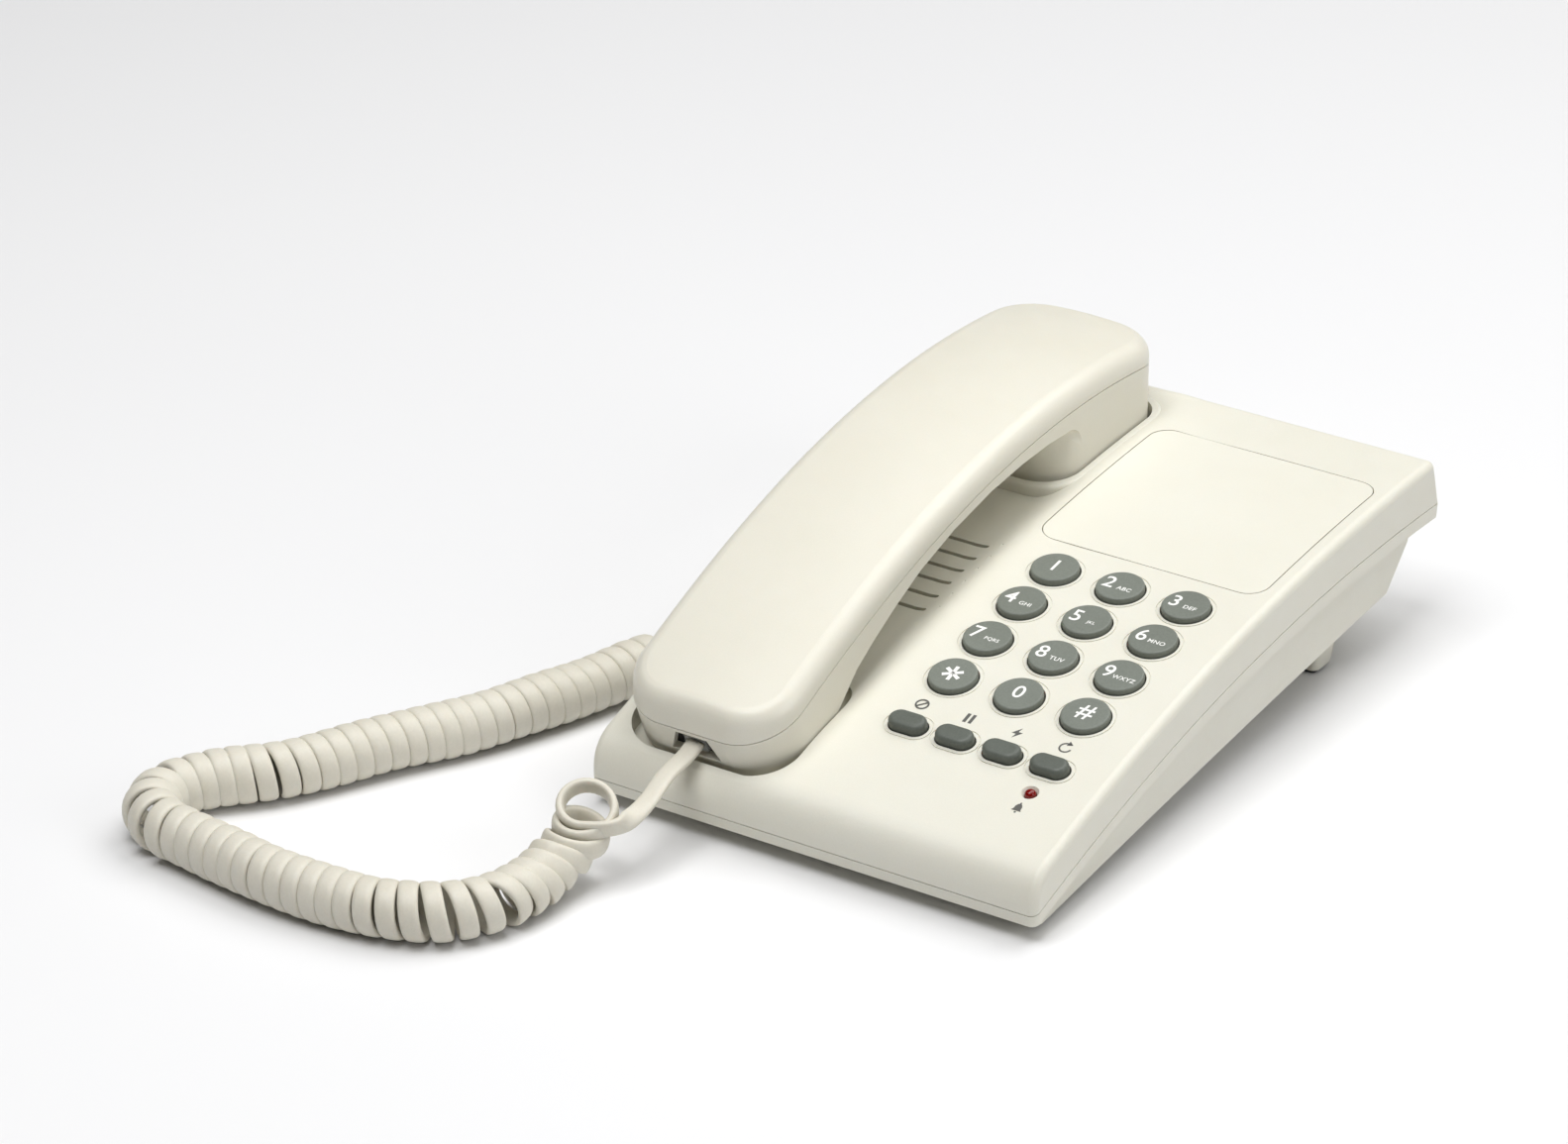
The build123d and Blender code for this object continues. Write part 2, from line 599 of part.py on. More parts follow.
# ================================================================ circuit board and what stands on it
with BuildPart() as main_board:
    with BuildSketch(board_plane(1.6)):
        with Locations((28.2, 1.0)):
            RectangleRounded(64, 97.0, 2)
        with Locations(*BOARD_SCREWS):
            Circle(1.2, mode=Mode.SUBTRACT)
    extrude(amount=1.6)
save(main_board, "main_board")

with BuildPart() as dialler_chip:
    with BuildSketch(board_plane(2.1)):
        with Locations((22, -8)):
            Rectangle(22.9, 6.4)
    extrude(amount=-3.4)
    with BuildSketch(board_plane(1.63)):
        with Locations((22, -8)):
            with GridLocations(2.54, 7.2, 9, 2):
                Rectangle(0.6, 1.0)
    extrude(amount=-2.4)
save(dialler_chip, "dialler_chip")

with BuildPart() as board_capacitors:
    for x, v, r, h in ((6, 20, 3.2, 9), (16, 24, 2.5, 8), (44, -22, 4.0, 10), (50, 16, 3.2, 9), (40, 24, 2.5, 8)):
        with BuildSketch(board_plane(1.63)):
            with Locations((x, v)):
                Circle(r)
        extrude(amount=-h)
save(board_capacitors, "board_capacitors")

with BuildPart() as ring_lamp:
    with BuildSketch(deck_plane(LAMP_X, LAMP_Y, 4.4)):
        Circle(1.95)
    extrude(amount=1.0)
    with BuildSketch(deck_plane(LAMP_X, LAMP_Y, 4.4)):
        Circle(1.5)
    extrude(amount=5.0)
    fillet(ring_lamp.faces().sort_by(lambda f: f.center().Z)[-1].edges(), 1.35)
    with BuildSketch(deck_plane(LAMP_X, LAMP_Y, above_board(LAMP_X, LAMP_Y) - 0.1)):
        with Locations((-1.27, 0), (1.27, 0)):
            Rectangle(0.5, 0.5)
    extrude(amount=above_board(LAMP_X, LAMP_Y) - 0.1 - 4.0)
save(ring_lamp, "ring_lamp")

with BuildPart() as ring_sounder:
    with BuildSketch(deck_plane(HS_X, 93.0, 11.6)):
        Circle(15.3)
    extrude(amount=3.6)
    with BuildSketch(deck_plane(HS_X, 93.0, 8.0)):
        Circle(12.5)
        Circle(2.0, mode=Mode.SUBTRACT)
    extrude(amount=0.8)
save(ring_sounder, "ring_sounder")

# ================================================================ hook: plunger, spring, switch
with BuildPart() as hook_plunger:
    with BuildSketch(Plane(origin=at(HOOK_X, HOOK_Y, 35.1))):
        RectangleRounded(9.0, 6.0, 1.0)
    extrude(amount=41.93 - 35.1)
    fillet(hook_plunger.faces().sort_by(Axis.Z)[-1].edges(), 0.5)
    with BuildSketch(Plane(origin=at(HOOK_X, HOOK_Y, 34.0))):
        RectangleRounded(12.6, 9.6, 1.5)
    extrude(amount=1.2)
    with BuildSketch(Plane(origin=at(HOOK_X, HOOK_Y, 24.0))):
        Circle(2.0)
    extrude(amount=10.5)
save(hook_plunger, "hook_plunger")

with BuildPart() as hook_switch:
    with BuildSketch(Plane(origin=at(HOOK_X, HOOK_Y, 18.25))):
        RectangleRounded(24.0, 13.0, 1.0)
    extrude(amount=26.8 - 18.25)
    with BuildSketch(Plane(origin=at(HOOK_X, HOOK_Y, 20.0))):
        Circle(2.3)
    extrude(amount=10, mode=Mode.SUBTRACT)
save(hook_switch, "hook_switch")

with BuildPart() as hook_spring:
    with BuildLine():
        Helix(pitch=1.5, height=6.3, radius=3.0, center=at(HOOK_X, HOOK_Y, 27.2))
    with BuildSketch(Plane(origin=at(HOOK_X + 3.0, HOOK_Y, 27.2), x_dir=(1, 0, 0), z_dir=(0, 1, 0.08))):
        Circle(0.3)
    sweep(is_frenet=True)
save(hook_spring, "hook_spring")

# ================================================================ ballast plate on the tub floor
with BuildPart() as ballast_plate:
    fl = atan(0.105 - 2e-4 * 148)
    with BuildSketch(Plane(origin=at(12, 148, tub(148) + WALL + 0.25), x_dir=(1, 0, 0), z_dir=(0, -sin(fl), cos(fl)))):
        RectangleRounded(60, 38, 3)
    extrude(amount=3)
save(ballast_plate, "ballast_plate")

# ================================================================ jacks in the base
with BuildPart() as cord_jack_base:
    with BuildSketch(Plane(origin=at(-59.3, 85, 17.2), x_dir=(0, -1, 0), z_dir=(-1, 0, 0))):
        Rectangle(12.0, 10.2)
    extrude(amount=-15)
    with BuildSketch(Plane(origin=at(-59.3, 85, 17.0), x_dir=(0, -1, 0), z_dir=(-1, 0, 0))):
        Rectangle(8.2, 7.0)
    extrude(amount=-12, mode=Mode.SUBTRACT)
save(cord_jack_base, "cord_jack_base")

with BuildPart() as line_jack:
    with BuildSketch(Plane(origin=at(20, 179.4, 23.6), x_dir=(-1, 0, 0), z_dir=(0, 1, 0))):
        Rectangle(14.0, 9.2)
    extrude(amount=-11.0)
    with BuildSketch(Plane(origin=at(20, 179.4, 23.6), x_dir=(-1, 0, 0), z_dir=(0, 1, 0))):
        Rectangle(10.0, 6.8)
    extrude(amount=-9.0, mode=Mode.SUBTRACT)
    with BuildSketch(Plane(origin=at(20, 179.4, 20.4), x_dir=(-1, 0, 0), z_dir=(0, 1, 0))):
        Rectangle(5.0, 1.6)
    extrude(amount=-9.0, mode=Mode.SUBTRACT)
save(line_jack, "line_jack")

# ================================================================ ringer volume switch and its knob
with BuildPart() as volume_switch:
    with BuildSketch(rear_plane(30, 41.0, 5.2)):
        Rectangle(15, 6.4)
    extrude(amount=-4.5)
save(volume_switch, "volume_switch")

with BuildPart() as volume_knob:
    with BuildSketch(rear_plane(30 - KNOB_TRAVEL / 2, 41.0, 5.05)):
        Rectangle(2.6, 2.6)
    extrude(amount=5.05)
    with BuildSketch(rear_plane(30 - KNOB_TRAVEL / 2, 41.0, 3.6)):
        Rectangle(5.4, 5.0)
    extrude(amount=1.0)
    with BuildSketch(rear_plane(30 - KNOB_TRAVEL / 2, 41.0, -0.0)):
        RectangleRounded(3.6, 2.8, 0.6)
    extrude(amount=1.4)
    fillet(volume_knob.faces().sort_by(Axis.Y)[-1].edges(), 0.35)
save(volume_knob, "volume_knob")
# ================================================================ handset
HS_MID = (HS_Y0 + HS_Y1) / 2
HS_LEN = HS_Y1 - HS_Y0
# lower side edge of the handset, from the mouthpiece cup along the grip
UNDER = [(2.72, 26.9), (7.9, 15.0), (27.5, 21.3), (33.5, 27.0), (41.5, 34.6), (50, 39.6), (59, 44.2), (71.3, 49.6), (87, 54.2),
         (105, 57.6), (120, 59.0), (133, 59.4), (150, 58.6)]
EAR_FRONT, EAR_BOTTOM, EAR_CORNER = 139.5, 42.0, 10.5
GRIP = [(46, 0.5), (56, 2.6), (70, 4.6), (88, 5.8), (106, 5.8), (122, 4.6), (136, 3.6), (150, 3.6)]     # depth of the finger bulge
HS_BOSSES = [(HS_X - 12.0, 25.5, 20.6), (HS_X, 144.9, 42.0)]                                 # x, y, floor height
EAR_Y = 166.6
HOLLOW_SIDE = [(5.0, 26.6), (9.4, 17.4), (26.7, 23.3), (32.1, 28.5), (40.4, 36.6), (49, 41.6), (58.2, 45.9), (71.0, 51.1), (86.5, 55.7),
               (104.7, 59.0), (119.9, 60.4), (132, 60.9)]


def under(y):
    for (a, za), (b, zb) in zip(UNDER, UNDER[1:]):
        if a <= y <= b:
            return za + (zb - za) * (y - a) / (b - a)


with BuildPart() as handset_upper:
    for i in range(9):
        y = HS_Y0 - 2 + (HS_LEN + 4) * i / 8
        s, c = hs_seam(y) + PART_GAP, hs_crown(y) - PART_GAP
        with BuildSketch(xz_plane(y)):
            with BuildLine():
                Polyline((HS_X + 25, s + 0.72 * c), (HS_X + 25, s), (HS_X - 25, s), (HS_X - 25, s + 0.72 * c))
                ThreePointArc((HS_X - 25, s + 0.72 * c), (HS_X, s + c), (HS_X + 25, s + 0.72 * c))
            make_face()
    loft()
    with BuildSketch(Plane.XY):
        with Locations((HS_X, HS_MID + Y_F)):
            RectangleRounded(2 * HS_A, HS_LEN, HS_R)
    extrude(amount=100, mode=Mode.INTERSECT)
    fillet(handset_upper.faces().sort_by(lambda f: f.center().Z)[-1].edges(), 5.2)
    for i in range(9):
        y = HS_Y0 + HS_WALL + (HS_LEN - 2 * HS_WALL) * i / 8
        s, c = hs_seam(y), hs_crown(y) - HS_WALL
        with BuildSketch(xz_plane(y), mode=Mode.PRIVATE) as hollow_section:
            with BuildLine():
                Polyline((HS_X + 22, s + 0.62 * c), (HS_X + 22, s - 2), (HS_X - 22, s - 2), (HS_X - 22, s + 0.62 * c))
                ThreePointArc((HS_X - 22, s + 0.62 * c), (HS_X, s + c), (HS_X + 22, s + 0.62 * c))
            make_face()
        add(hollow_section.sketch)
    with BuildSketch(Plane.XY.offset(10), mode=Mode.PRIVATE) as inner_outline:
        with Locations((HS_X, HS_MID + Y_F)):
            RectangleRounded(2 * HS_A - 2 * HS_WALL, HS_LEN - 2 * HS_WALL, HS_R - HS_WALL)
    hollow = loft(mode=Mode.PRIVATE) & extrude(inner_outline.sketch, amount=80, mode=Mode.PRIVATE)
    add(hollow, mode=Mode.SUBTRACT)
    for x, y, floor in HS_BOSSES:
        with BuildSketch(Plane(origin=at(x, y, hs_seam(y) + 0.4))):
            Circle(3.0)
        extrude(amount=hs_crown(y) - (2.9 if y < 60 else 1.4))
    for x, y, floor in HS_BOSSES:
        with BuildSketch(Plane(origin=at(x, y, hs_seam(y) - 1.0))):
            Circle(1.35)
        extrude(amount=6.0, mode=Mode.SUBTRACT)
save(handset_upper, "handset_upper")

with BuildPart() as handset_lower:
    # mouthpiece cup and grip, from the side
    with BuildSketch(yz_plane(HS_X)):
        with BuildLine():
            Polyline(UNDER + [(HS_Y1, 58.6), (HS_Y1, hs_seam(HS_Y1))])
            Spline([(y, hs_seam(y)) for y in spaced(HS_Y1, HS_Y0, 13)])
            Line((HS_Y0, hs_seam(HS_Y0)), UNDER[0])
        make_face()
    extrude(amount=HS_A + 1, both=True)
    # rounded front of the cup, square to the mouthpiece
    with BuildSketch(mouth_plane(), mode=Mode.PRIVATE) as cup_outline:
        with Locations((0, 50)):
            Rectangle(2 * HS_A, 100)
        fillet(cup_outline.vertices().group_by(Axis.Y)[0], HS_R + 0.7)
    with BuildSketch(mouth_plane(), mode=Mode.PRIVATE) as cup_zone:
        with Locations((0, 14)):
            Rectangle(2 * HS_A + 10, 48)
    trim = extrude(cup_zone.sketch, amount=-22, mode=Mode.PRIVATE) - extrude(cup_outline.sketch, amount=-22, mode=Mode.PRIVATE)
    add(trim, mode=Mode.SUBTRACT)
    fillet(handset_lower.faces().filter_by(lambda f: f.center().Z < 19.5 and f.normal_at().Z < -0.8).edges(), 2.4)
    # finger bulge
    for y, d in GRIP:
        with BuildSketch(xz_plane(y)):
            with BuildLine():
                Polyline((HS_X - 22.6, under(y) + 0.02), (HS_X - 22.6, under(y) + 1.6), (HS_X + 22.6, under(y) + 1.6), (HS_X + 22.6, under(y) + 0.02))
                ThreePointArc((HS_X - 22.6, under(y) + 0.02), (HS_X, under(y) - d), (HS_X + 22.6, under(y) + 0.02))
            make_face()
    loft()
    # earpiece cup
    with BuildSketch(Plane.XY.offset(EAR_BOTTOM)) as ear_outline:
        with Locations((HS_X, (EAR_FRONT + HS_Y1 + 3) / 2 + Y_F)):
            Rectangle(2 * HS_A, HS_Y1 + 3 - EAR_FRONT)
        fillet(ear_outline.vertices().group_by(Axis.Y)[0], EAR_CORNER)
    extrude(amount=17.5)
    with BuildSketch(Plane.XY):
        with Locations((HS_X, HS_MID + Y_F)):
            RectangleRounded(2 * HS_A, HS_LEN, HS_R)
    extrude(amount=100, mode=Mode.INTERSECT)
    # the back of the cup leans like the well around it
    with BuildSketch(yz_plane(HS_X)):
        with BuildLine():
            Polyline((190.6, EAR_BOTTOM - 1.2), (190.9, EAR_BOTTOM), (HS_Y1, hs_seam(HS_Y1) - 0.3), (HS_Y1 + 5, hs_seam(HS_Y1) - 0.3), (HS_Y1 + 5, EAR_BOTTOM - 1.2), close=True)
        make_face()
    extrude(amount=HS_A + 2, both=True, mode=Mode.SUBTRACT)
    rear_joint = [e for e in handset_lower.edges() if 53 < e.center().Z < 59.3 and EAR_FRONT - 1 + Y_F < e.center().Y < EAR_FRONT + 13 + Y_F
                  and e.bounding_box().size.Z < 6 and e.bounding_box().min.Y > EAR_FRONT - 0.1 + Y_F]
    fillet(handset_lower.faces().sort_by(lambda f: f.center().Z if f.normal_at().Z < -0.99 else 999)[0].edges(), 1.8)
    fillet(rear_joint, 2.0)
    # hollow of the grip and the mouthpiece cup
    with BuildSketch(yz_plane(HS_X), mode=Mode.PRIVATE) as hollow_side:
        with BuildLine():
            Polyline(HOLLOW_SIDE + [(192.4, 60.9), (192.4, 90), (5.0, 90), HOLLOW_SIDE[0]])
        make_face()
    with BuildSketch(Plane.XY.offset(10), mode=Mode.PRIVATE) as inner_outline:
        with Locations((HS_X, HS_MID + Y_F)):
            RectangleRounded(2 * HS_A - 2 * HS_WALL, HS_LEN - 2 * HS_WALL, HS_R - HS_WALL)
    plan_column = extrude(inner_outline.sketch, amount=80, mode=Mode.PRIVATE)
    with BuildSketch(mouth_plane(), mode=Mode.PRIVATE) as cup_hollow:
        with Locations((0, 50 + HS_WALL)):
            Rectangle(2 * HS_A - 2 * HS_WALL, 100)
        fillet(cup_hollow.vertices().group_by(Axis.Y)[0], HS_R + 0.7 - HS_WALL)
    corner = extrude(cup_zone.sketch, amount=-22, mode=Mode.PRIVATE) - extrude(cup_hollow.sketch, amount=-22, mode=Mode.PRIVATE)
    add((extrude(hollow_side.sketch, amount=HS_A, both=True, mode=Mode.PRIVATE) & plan_column) - corner, mode=Mode.SUBTRACT)
    for y, d in GRIP[1:-1]:
        with BuildSketch(xz_plane(y)):
            with BuildLine():
                Polyline((HS_X - 20, under(y) + 2.2), (HS_X - 20, under(y) + 4.5), (HS_X + 20, under(y) + 4.5), (HS_X + 20, under(y) + 2.2))
                ThreePointArc((HS_X - 20, under(y) + 2.2), (HS_X, under(y) - d + 2.2), (HS_X + 20, under(y) + 2.2))
            make_face()
    loft(mode=Mode.SUBTRACT)
    # hollow of the earpiece cup
    with BuildSketch(Plane.XY.offset(EAR_BOTTOM + HS_WALL), mode=Mode.PRIVATE) as ear_hollow:
        with Locations((HS_X, (EAR_FRONT + HS_WALL + HS_Y1) / 2 + Y_F)):
            Rectangle(2 * HS_A - 2 * HS_WALL, HS_Y1 - EAR_FRONT - HS_WALL)
        fillet(ear_hollow.vertices().group_by(Axis.Y)[0], EAR_CORNER - HS_WALL)
    with BuildSketch(yz_plane(HS_X), mode=Mode.PRIVATE) as rear_lean:
        with BuildLine():
            Polyline((188.7, EAR_BOTTOM), (192.4, 60), (192.4, 63), (100, 63), (100, EAR_BOTTOM), close=True)
        make_face()
    ear_side = extrude(rear_lean.sketch, amount=HS_A, both=True, mode=Mode.PRIVATE)
    add(extrude(ear_hollow.sketch, amount=18.2, mode=Mode.PRIVATE) & plan_column & ear_side, mode=Mode.SUBTRACT)
    for x, y, floor in HS_BOSSES:
        with BuildSketch(Plane(origin=at(x, y, floor + 1.0))):
            Circle(4.0)
        extrude(amount=hs_seam(y) - floor - 1.4)
    for x, y, floor in HS_BOSSES:
        with BuildSketch(Plane(origin=at(x, y, floor - 4.0))):
            Circle(1.6)
        extrude(amount=60, mode=Mode.SUBTRACT)
        with BuildSketch(Plane(origin=at(x, y, floor - 4.0))):
            Circle(3.0)
        extrude(amount=4.0 + 4.5, mode=Mode.SUBTRACT)
    # sound holes over the receiver
    with BuildSketch(Plane(origin=at(HS_X, EAR_Y, 40))):
        Circle(1.1)
        with PolarLocations(5.0, 6):
            Circle(1.1)
        with PolarLocations(9.6, 12):
            Circle(0.9)
    extrude(amount=4.5, mode=Mode.SUBTRACT)
    # sound slots under the microphone
    with BuildSketch(Plane(origin=at(HS_X + 14.2, 20.5, 14))):
        with GridLocations(3.0, 1, 3, 1):
            SlotOverall(4.0, 1.2, rotation=90)
    extrude(amount=9, mode=Mode.SUBTRACT)
    # notch in the front where the cord goes in
    with BuildSketch(mouth_front(-1.0)):
        with BuildLine():
            Polyline((-4.6, -0.9), (4.6, -0.9), (7.2, -7.6), (-7.2, -7.6), close=True)
        make_face()
    extrude(amount=-3.4, mode=Mode.SUBTRACT)
save(handset_lower, "handset_lower")

with BuildPart() as handset_screws:
    for x, y, floor in HS_BOSSES:
        with BuildSketch(Plane(origin=at(x, y, floor + 2.4))):
            Circle(2.6)
            Rectangle(3.0, 0.6, mode=Mode.SUBTRACT)
            Rectangle(0.6, 3.0, mode=Mode.SUBTRACT)
        extrude(amount=0.9)
        with BuildSketch(Plane(origin=at(x, y, floor + 3.3))):
            Circle(2.6)
        extrude(amount=1.18)
        with BuildSketch(Plane(origin=at(x, y, floor + 4.48))):
            Circle(1.3)
        extrude(amount=hs_seam(y) - floor - 4.48 + 4.4)
save(handset_screws, "handset_screws")

with BuildPart() as receiver_gasket:
    with BuildSketch(Plane(origin=at(HS_X, EAR_Y, 44.04))):
        Circle(16.0)
        Circle(12.0, mode=Mode.SUBTRACT)
    extrude(amount=0.96)
save(receiver_gasket, "receiver_gasket")

with BuildPart() as receiver_capsule:
    with BuildSketch(Plane(origin=at(HS_X, EAR_Y, 45.05))):
        Circle(16.8)
    extrude(amount=4.0)
    chamfer(receiver_capsule.edges().sort_by(Axis.Z)[-1], 0.8)
    with BuildSketch(Plane(origin=at(HS_X, EAR_Y, 49.0))):
        Circle(9.0)
    extrude(amount=4.5)
save(receiver_capsule, "receiver_capsule")

MIC_TILT = atan(6.3 / 19.6)
MIC = Vector(*at(HS_X + 14.2, 20.5, 15 + (20.5 - 7.9) * tan(MIC_TILT)))
MIC_UP = Vector(0, -sin(MIC_TILT), cos(MIC_TILT))
with BuildPart() as microphone_boot:
    with BuildSketch(Plane(origin=MIC + MIC_UP * 2.35, x_dir=(1, 0, 0), z_dir=MIC_UP)):
        Circle(5.6)
        Circle(4.5, mode=Mode.SUBTRACT)
    extrude(amount=5.4)
save(microphone_boot, "microphone_boot")

with BuildPart() as microphone:
    with BuildSketch(Plane(origin=MIC + MIC_UP * 2.6, x_dir=(1, 0, 0), z_dir=MIC_UP)):
        Circle(4.45)
    extrude(amount=5.6)
save(microphone, "microphone")

with BuildPart() as handset_jack:
    with BuildSketch(mouth_front(2.4, 4.9)):
        Rectangle(15.0, 7.8)
    extrude(amount=-13.0)
    with BuildSketch(mouth_front(2.4, 4.4)):
        Rectangle(7.0, 5.6)
    extrude(amount=-11.2, mode=Mode.SUBTRACT)
save(handset_jack, "handset_jack")

with BuildPart() as cord_plug_handset:
    with BuildSketch(mouth_front(1.0, 4.4)):
        Rectangle(6.6, 4.4)
    extrude(amount=-12.0)
    with BuildSketch(mouth_front(1.0, 2.05)):
        Rectangle(2.8, 0.5)
    extrude(amount=-7.0)
save(cord_plug_handset, "cord_plug_handset")

SLOPE_100 = atan((hs_seam(112) - hs_seam(92)) / 20)
with BuildPart() as handset_weight:
    with BuildSketch(Plane(origin=at(HS_X, 102, hs_seam(102) - 3.7), x_dir=(1, 0, 0), z_dir=(0, -sin(SLOPE_100), cos(SLOPE_100)))):
        RectangleRounded(21, 38, 2)
    extrude(amount=4.5)
save(handset_weight, "handset_weight")

# ================================================================ cord and its plug in the base
with BuildPart() as cord_plug_base:
    with BuildSketch(Plane(origin=at(-62.6, 85, 17.0), x_dir=(0, -1, 0), z_dir=(-1, 0, 0))):
        Rectangle(7.6, 5.2)
    extrude(amount=-14)
    with BuildSketch(Plane(origin=at(-62.6, 85, 19.9), x_dir=(0, -1, 0), z_dir=(-1, 0, 0))):
        Rectangle(2.8, 0.6)
    extrude(amount=-8)
save(cord_plug_base, "cord_plug_base")

J = mouth_front(0.9, 4.4).origin
with BuildPart() as coil_cord:
    with BuildLine() as path:
        FilletPolyline(at(-44.4, -31.5, 7.5), at(-44.8, -58.5, 7.5), at(-59.0, -79.5, 7.5), at(-88.0, -83.2, 7.5), at(-134.5, -81.0, 7.5), at(-156.0, -67.0, 7.5),
                       at(-130.5, -38.5, 7.5), at(-101.5, 15.0, 7.5), at(-86.0, 59.0, 7.5), radius=11)
    with BuildSketch(Plane(origin=path.line @ 0, z_dir=path.line % 0)):
        Circle(COIL_R - 0.1)
    sweep()
    # straight lead to the plug in the handset
    with BuildLine():
        FilletPolyline(tuple(J), at(-36.5, -4.0, J.Z - 3.9), at(-41.0, -12.0, 11.0), at(-44.4, -22.0, 7.5), at(-44.4, -33.5, 7.5), radius=5)
    with BuildSketch(Plane(origin=J, z_dir=(0, -cos(TL), -sin(TL)))):
        Circle(1.5)
    sweep()
    # straight lead to the plug in the base
    with BuildLine() as tail:
        FilletPolyline(at(-86.9, 56.5, 7.5), at(-81.5, 72.0, 7.5), at(-72.5, 85.0, 17.0), at(-62.65, 85.0, 17.0), radius=5)
    with BuildSketch(Plane(origin=tail.line @ 0, z_dir=tail.line % 0)):
        Circle(1.5)
    sweep()
save(coil_cord, "coil_cord")

# ================================================================ wiring
WIRE_R = 0.55
UP = board_plane().z_dir
with BuildPart() as base_wires:
    ends = [((-44.2, 83.0, 17.0), [(-37.0, 82.0, 16.4), (-20.0, 78.0, 17.0)], (-1.0, 8.0), (-1, 0, 0)),
            ((-24.3, 158.0, 22.0), [(-19.0, 156.0, 22.4), (-8.0, 134.0, 24.5)], (0.0, 33.0), (1, 0, 0)),
            ((20.0, 168.3, 23.6), [(19.8, 163.0, 23.8), (19.0, 140.0, 26.0)], (20.0, 44.0), (0, -1, 0))]
    for a, mid, (x, v), d in ends:
        b = board_plane(1.68).origin + Vector(x, 0, 0) + board_plane().y_dir * v
        with BuildLine():
            Spline([at(*a)] + [at(*m) for m in mid] + [tuple(b - UP * 4.0), tuple(b)])
        tip = Vector(*at(*mid[0])) - Vector(*at(*a))
        with BuildSketch(Plane(origin=at(*a), z_dir=tip)):
            Circle(WIRE_R)
        sweep()
save(base_wires, "base_wires")

with BuildPart() as handset_wires:
    K = mouth_front(15.5, 4.4).origin
    with BuildLine():
        Spline([(K.X, K.Y, K.Z), (K.X, K.Y + 4.0, K.Z + 1.9), at(HS_X, 34.0, 34.4), at(HS_X - 4.0, 54.0, 47.6), at(HS_X - 12.0, 68.0, 53.2), at(HS_X - 14.6, 82.0, 57.8), at(HS_X - 14.6, 112.0, 63.8), at(HS_X - 12.0, 132.0, 64.4), at(HS_X - 8.0, 148.0, 61.0), at(HS_X - 6.0, 158.0, 57.6), at(HS_X - 6.0, 162.5, 54.3)])
    with BuildSketch(Plane(origin=K, z_dir=(0, cos(TL), sin(TL)))):
        Circle(WIRE_R)
    sweep()
save(handset_wires, "handset_wires")
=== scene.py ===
import bpy, bmesh, math
import numpy as np
from mathutils import Matrix, Vector


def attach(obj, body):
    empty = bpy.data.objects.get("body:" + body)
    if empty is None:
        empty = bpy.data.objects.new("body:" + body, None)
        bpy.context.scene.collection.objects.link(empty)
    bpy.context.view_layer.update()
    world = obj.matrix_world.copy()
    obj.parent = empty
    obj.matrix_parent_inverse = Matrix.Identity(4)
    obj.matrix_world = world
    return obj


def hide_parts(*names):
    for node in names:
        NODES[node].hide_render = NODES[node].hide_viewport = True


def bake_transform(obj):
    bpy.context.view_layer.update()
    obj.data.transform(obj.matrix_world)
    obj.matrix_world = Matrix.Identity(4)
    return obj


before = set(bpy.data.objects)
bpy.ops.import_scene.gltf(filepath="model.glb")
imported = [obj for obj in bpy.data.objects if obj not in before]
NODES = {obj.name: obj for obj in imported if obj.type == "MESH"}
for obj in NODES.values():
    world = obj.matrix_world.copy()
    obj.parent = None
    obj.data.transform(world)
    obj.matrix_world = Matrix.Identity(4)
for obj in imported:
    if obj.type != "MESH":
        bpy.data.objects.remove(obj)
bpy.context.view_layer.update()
MM = 0.001
Y_F = -101.9                       # front edge of the base; y below is measured from it


def deck(y):
    return 17.72 + 0.342 * y - 1.168e-3 * y**2 + 1.062e-6 * y**3


def deck_slope(y):
    return 0.342 - 2.336e-3 * y + 3.186e-6 * y**2


# ---------------------------------------------------------------- materials
def new_mat(name):
    m = bpy.data.materials.new(name)
    m.use_nodes = True
    nt = m.node_tree
    b = nt.nodes["Principled BSDF"]
    return m, nt, b


def node(nt, kind, **kw):
    n = nt.nodes.new(kind)
    for k, v in kw.items():
        if k in n.inputs:
            n.inputs[k].default_value = v
        else:
            setattr(n, k, v)
    return n


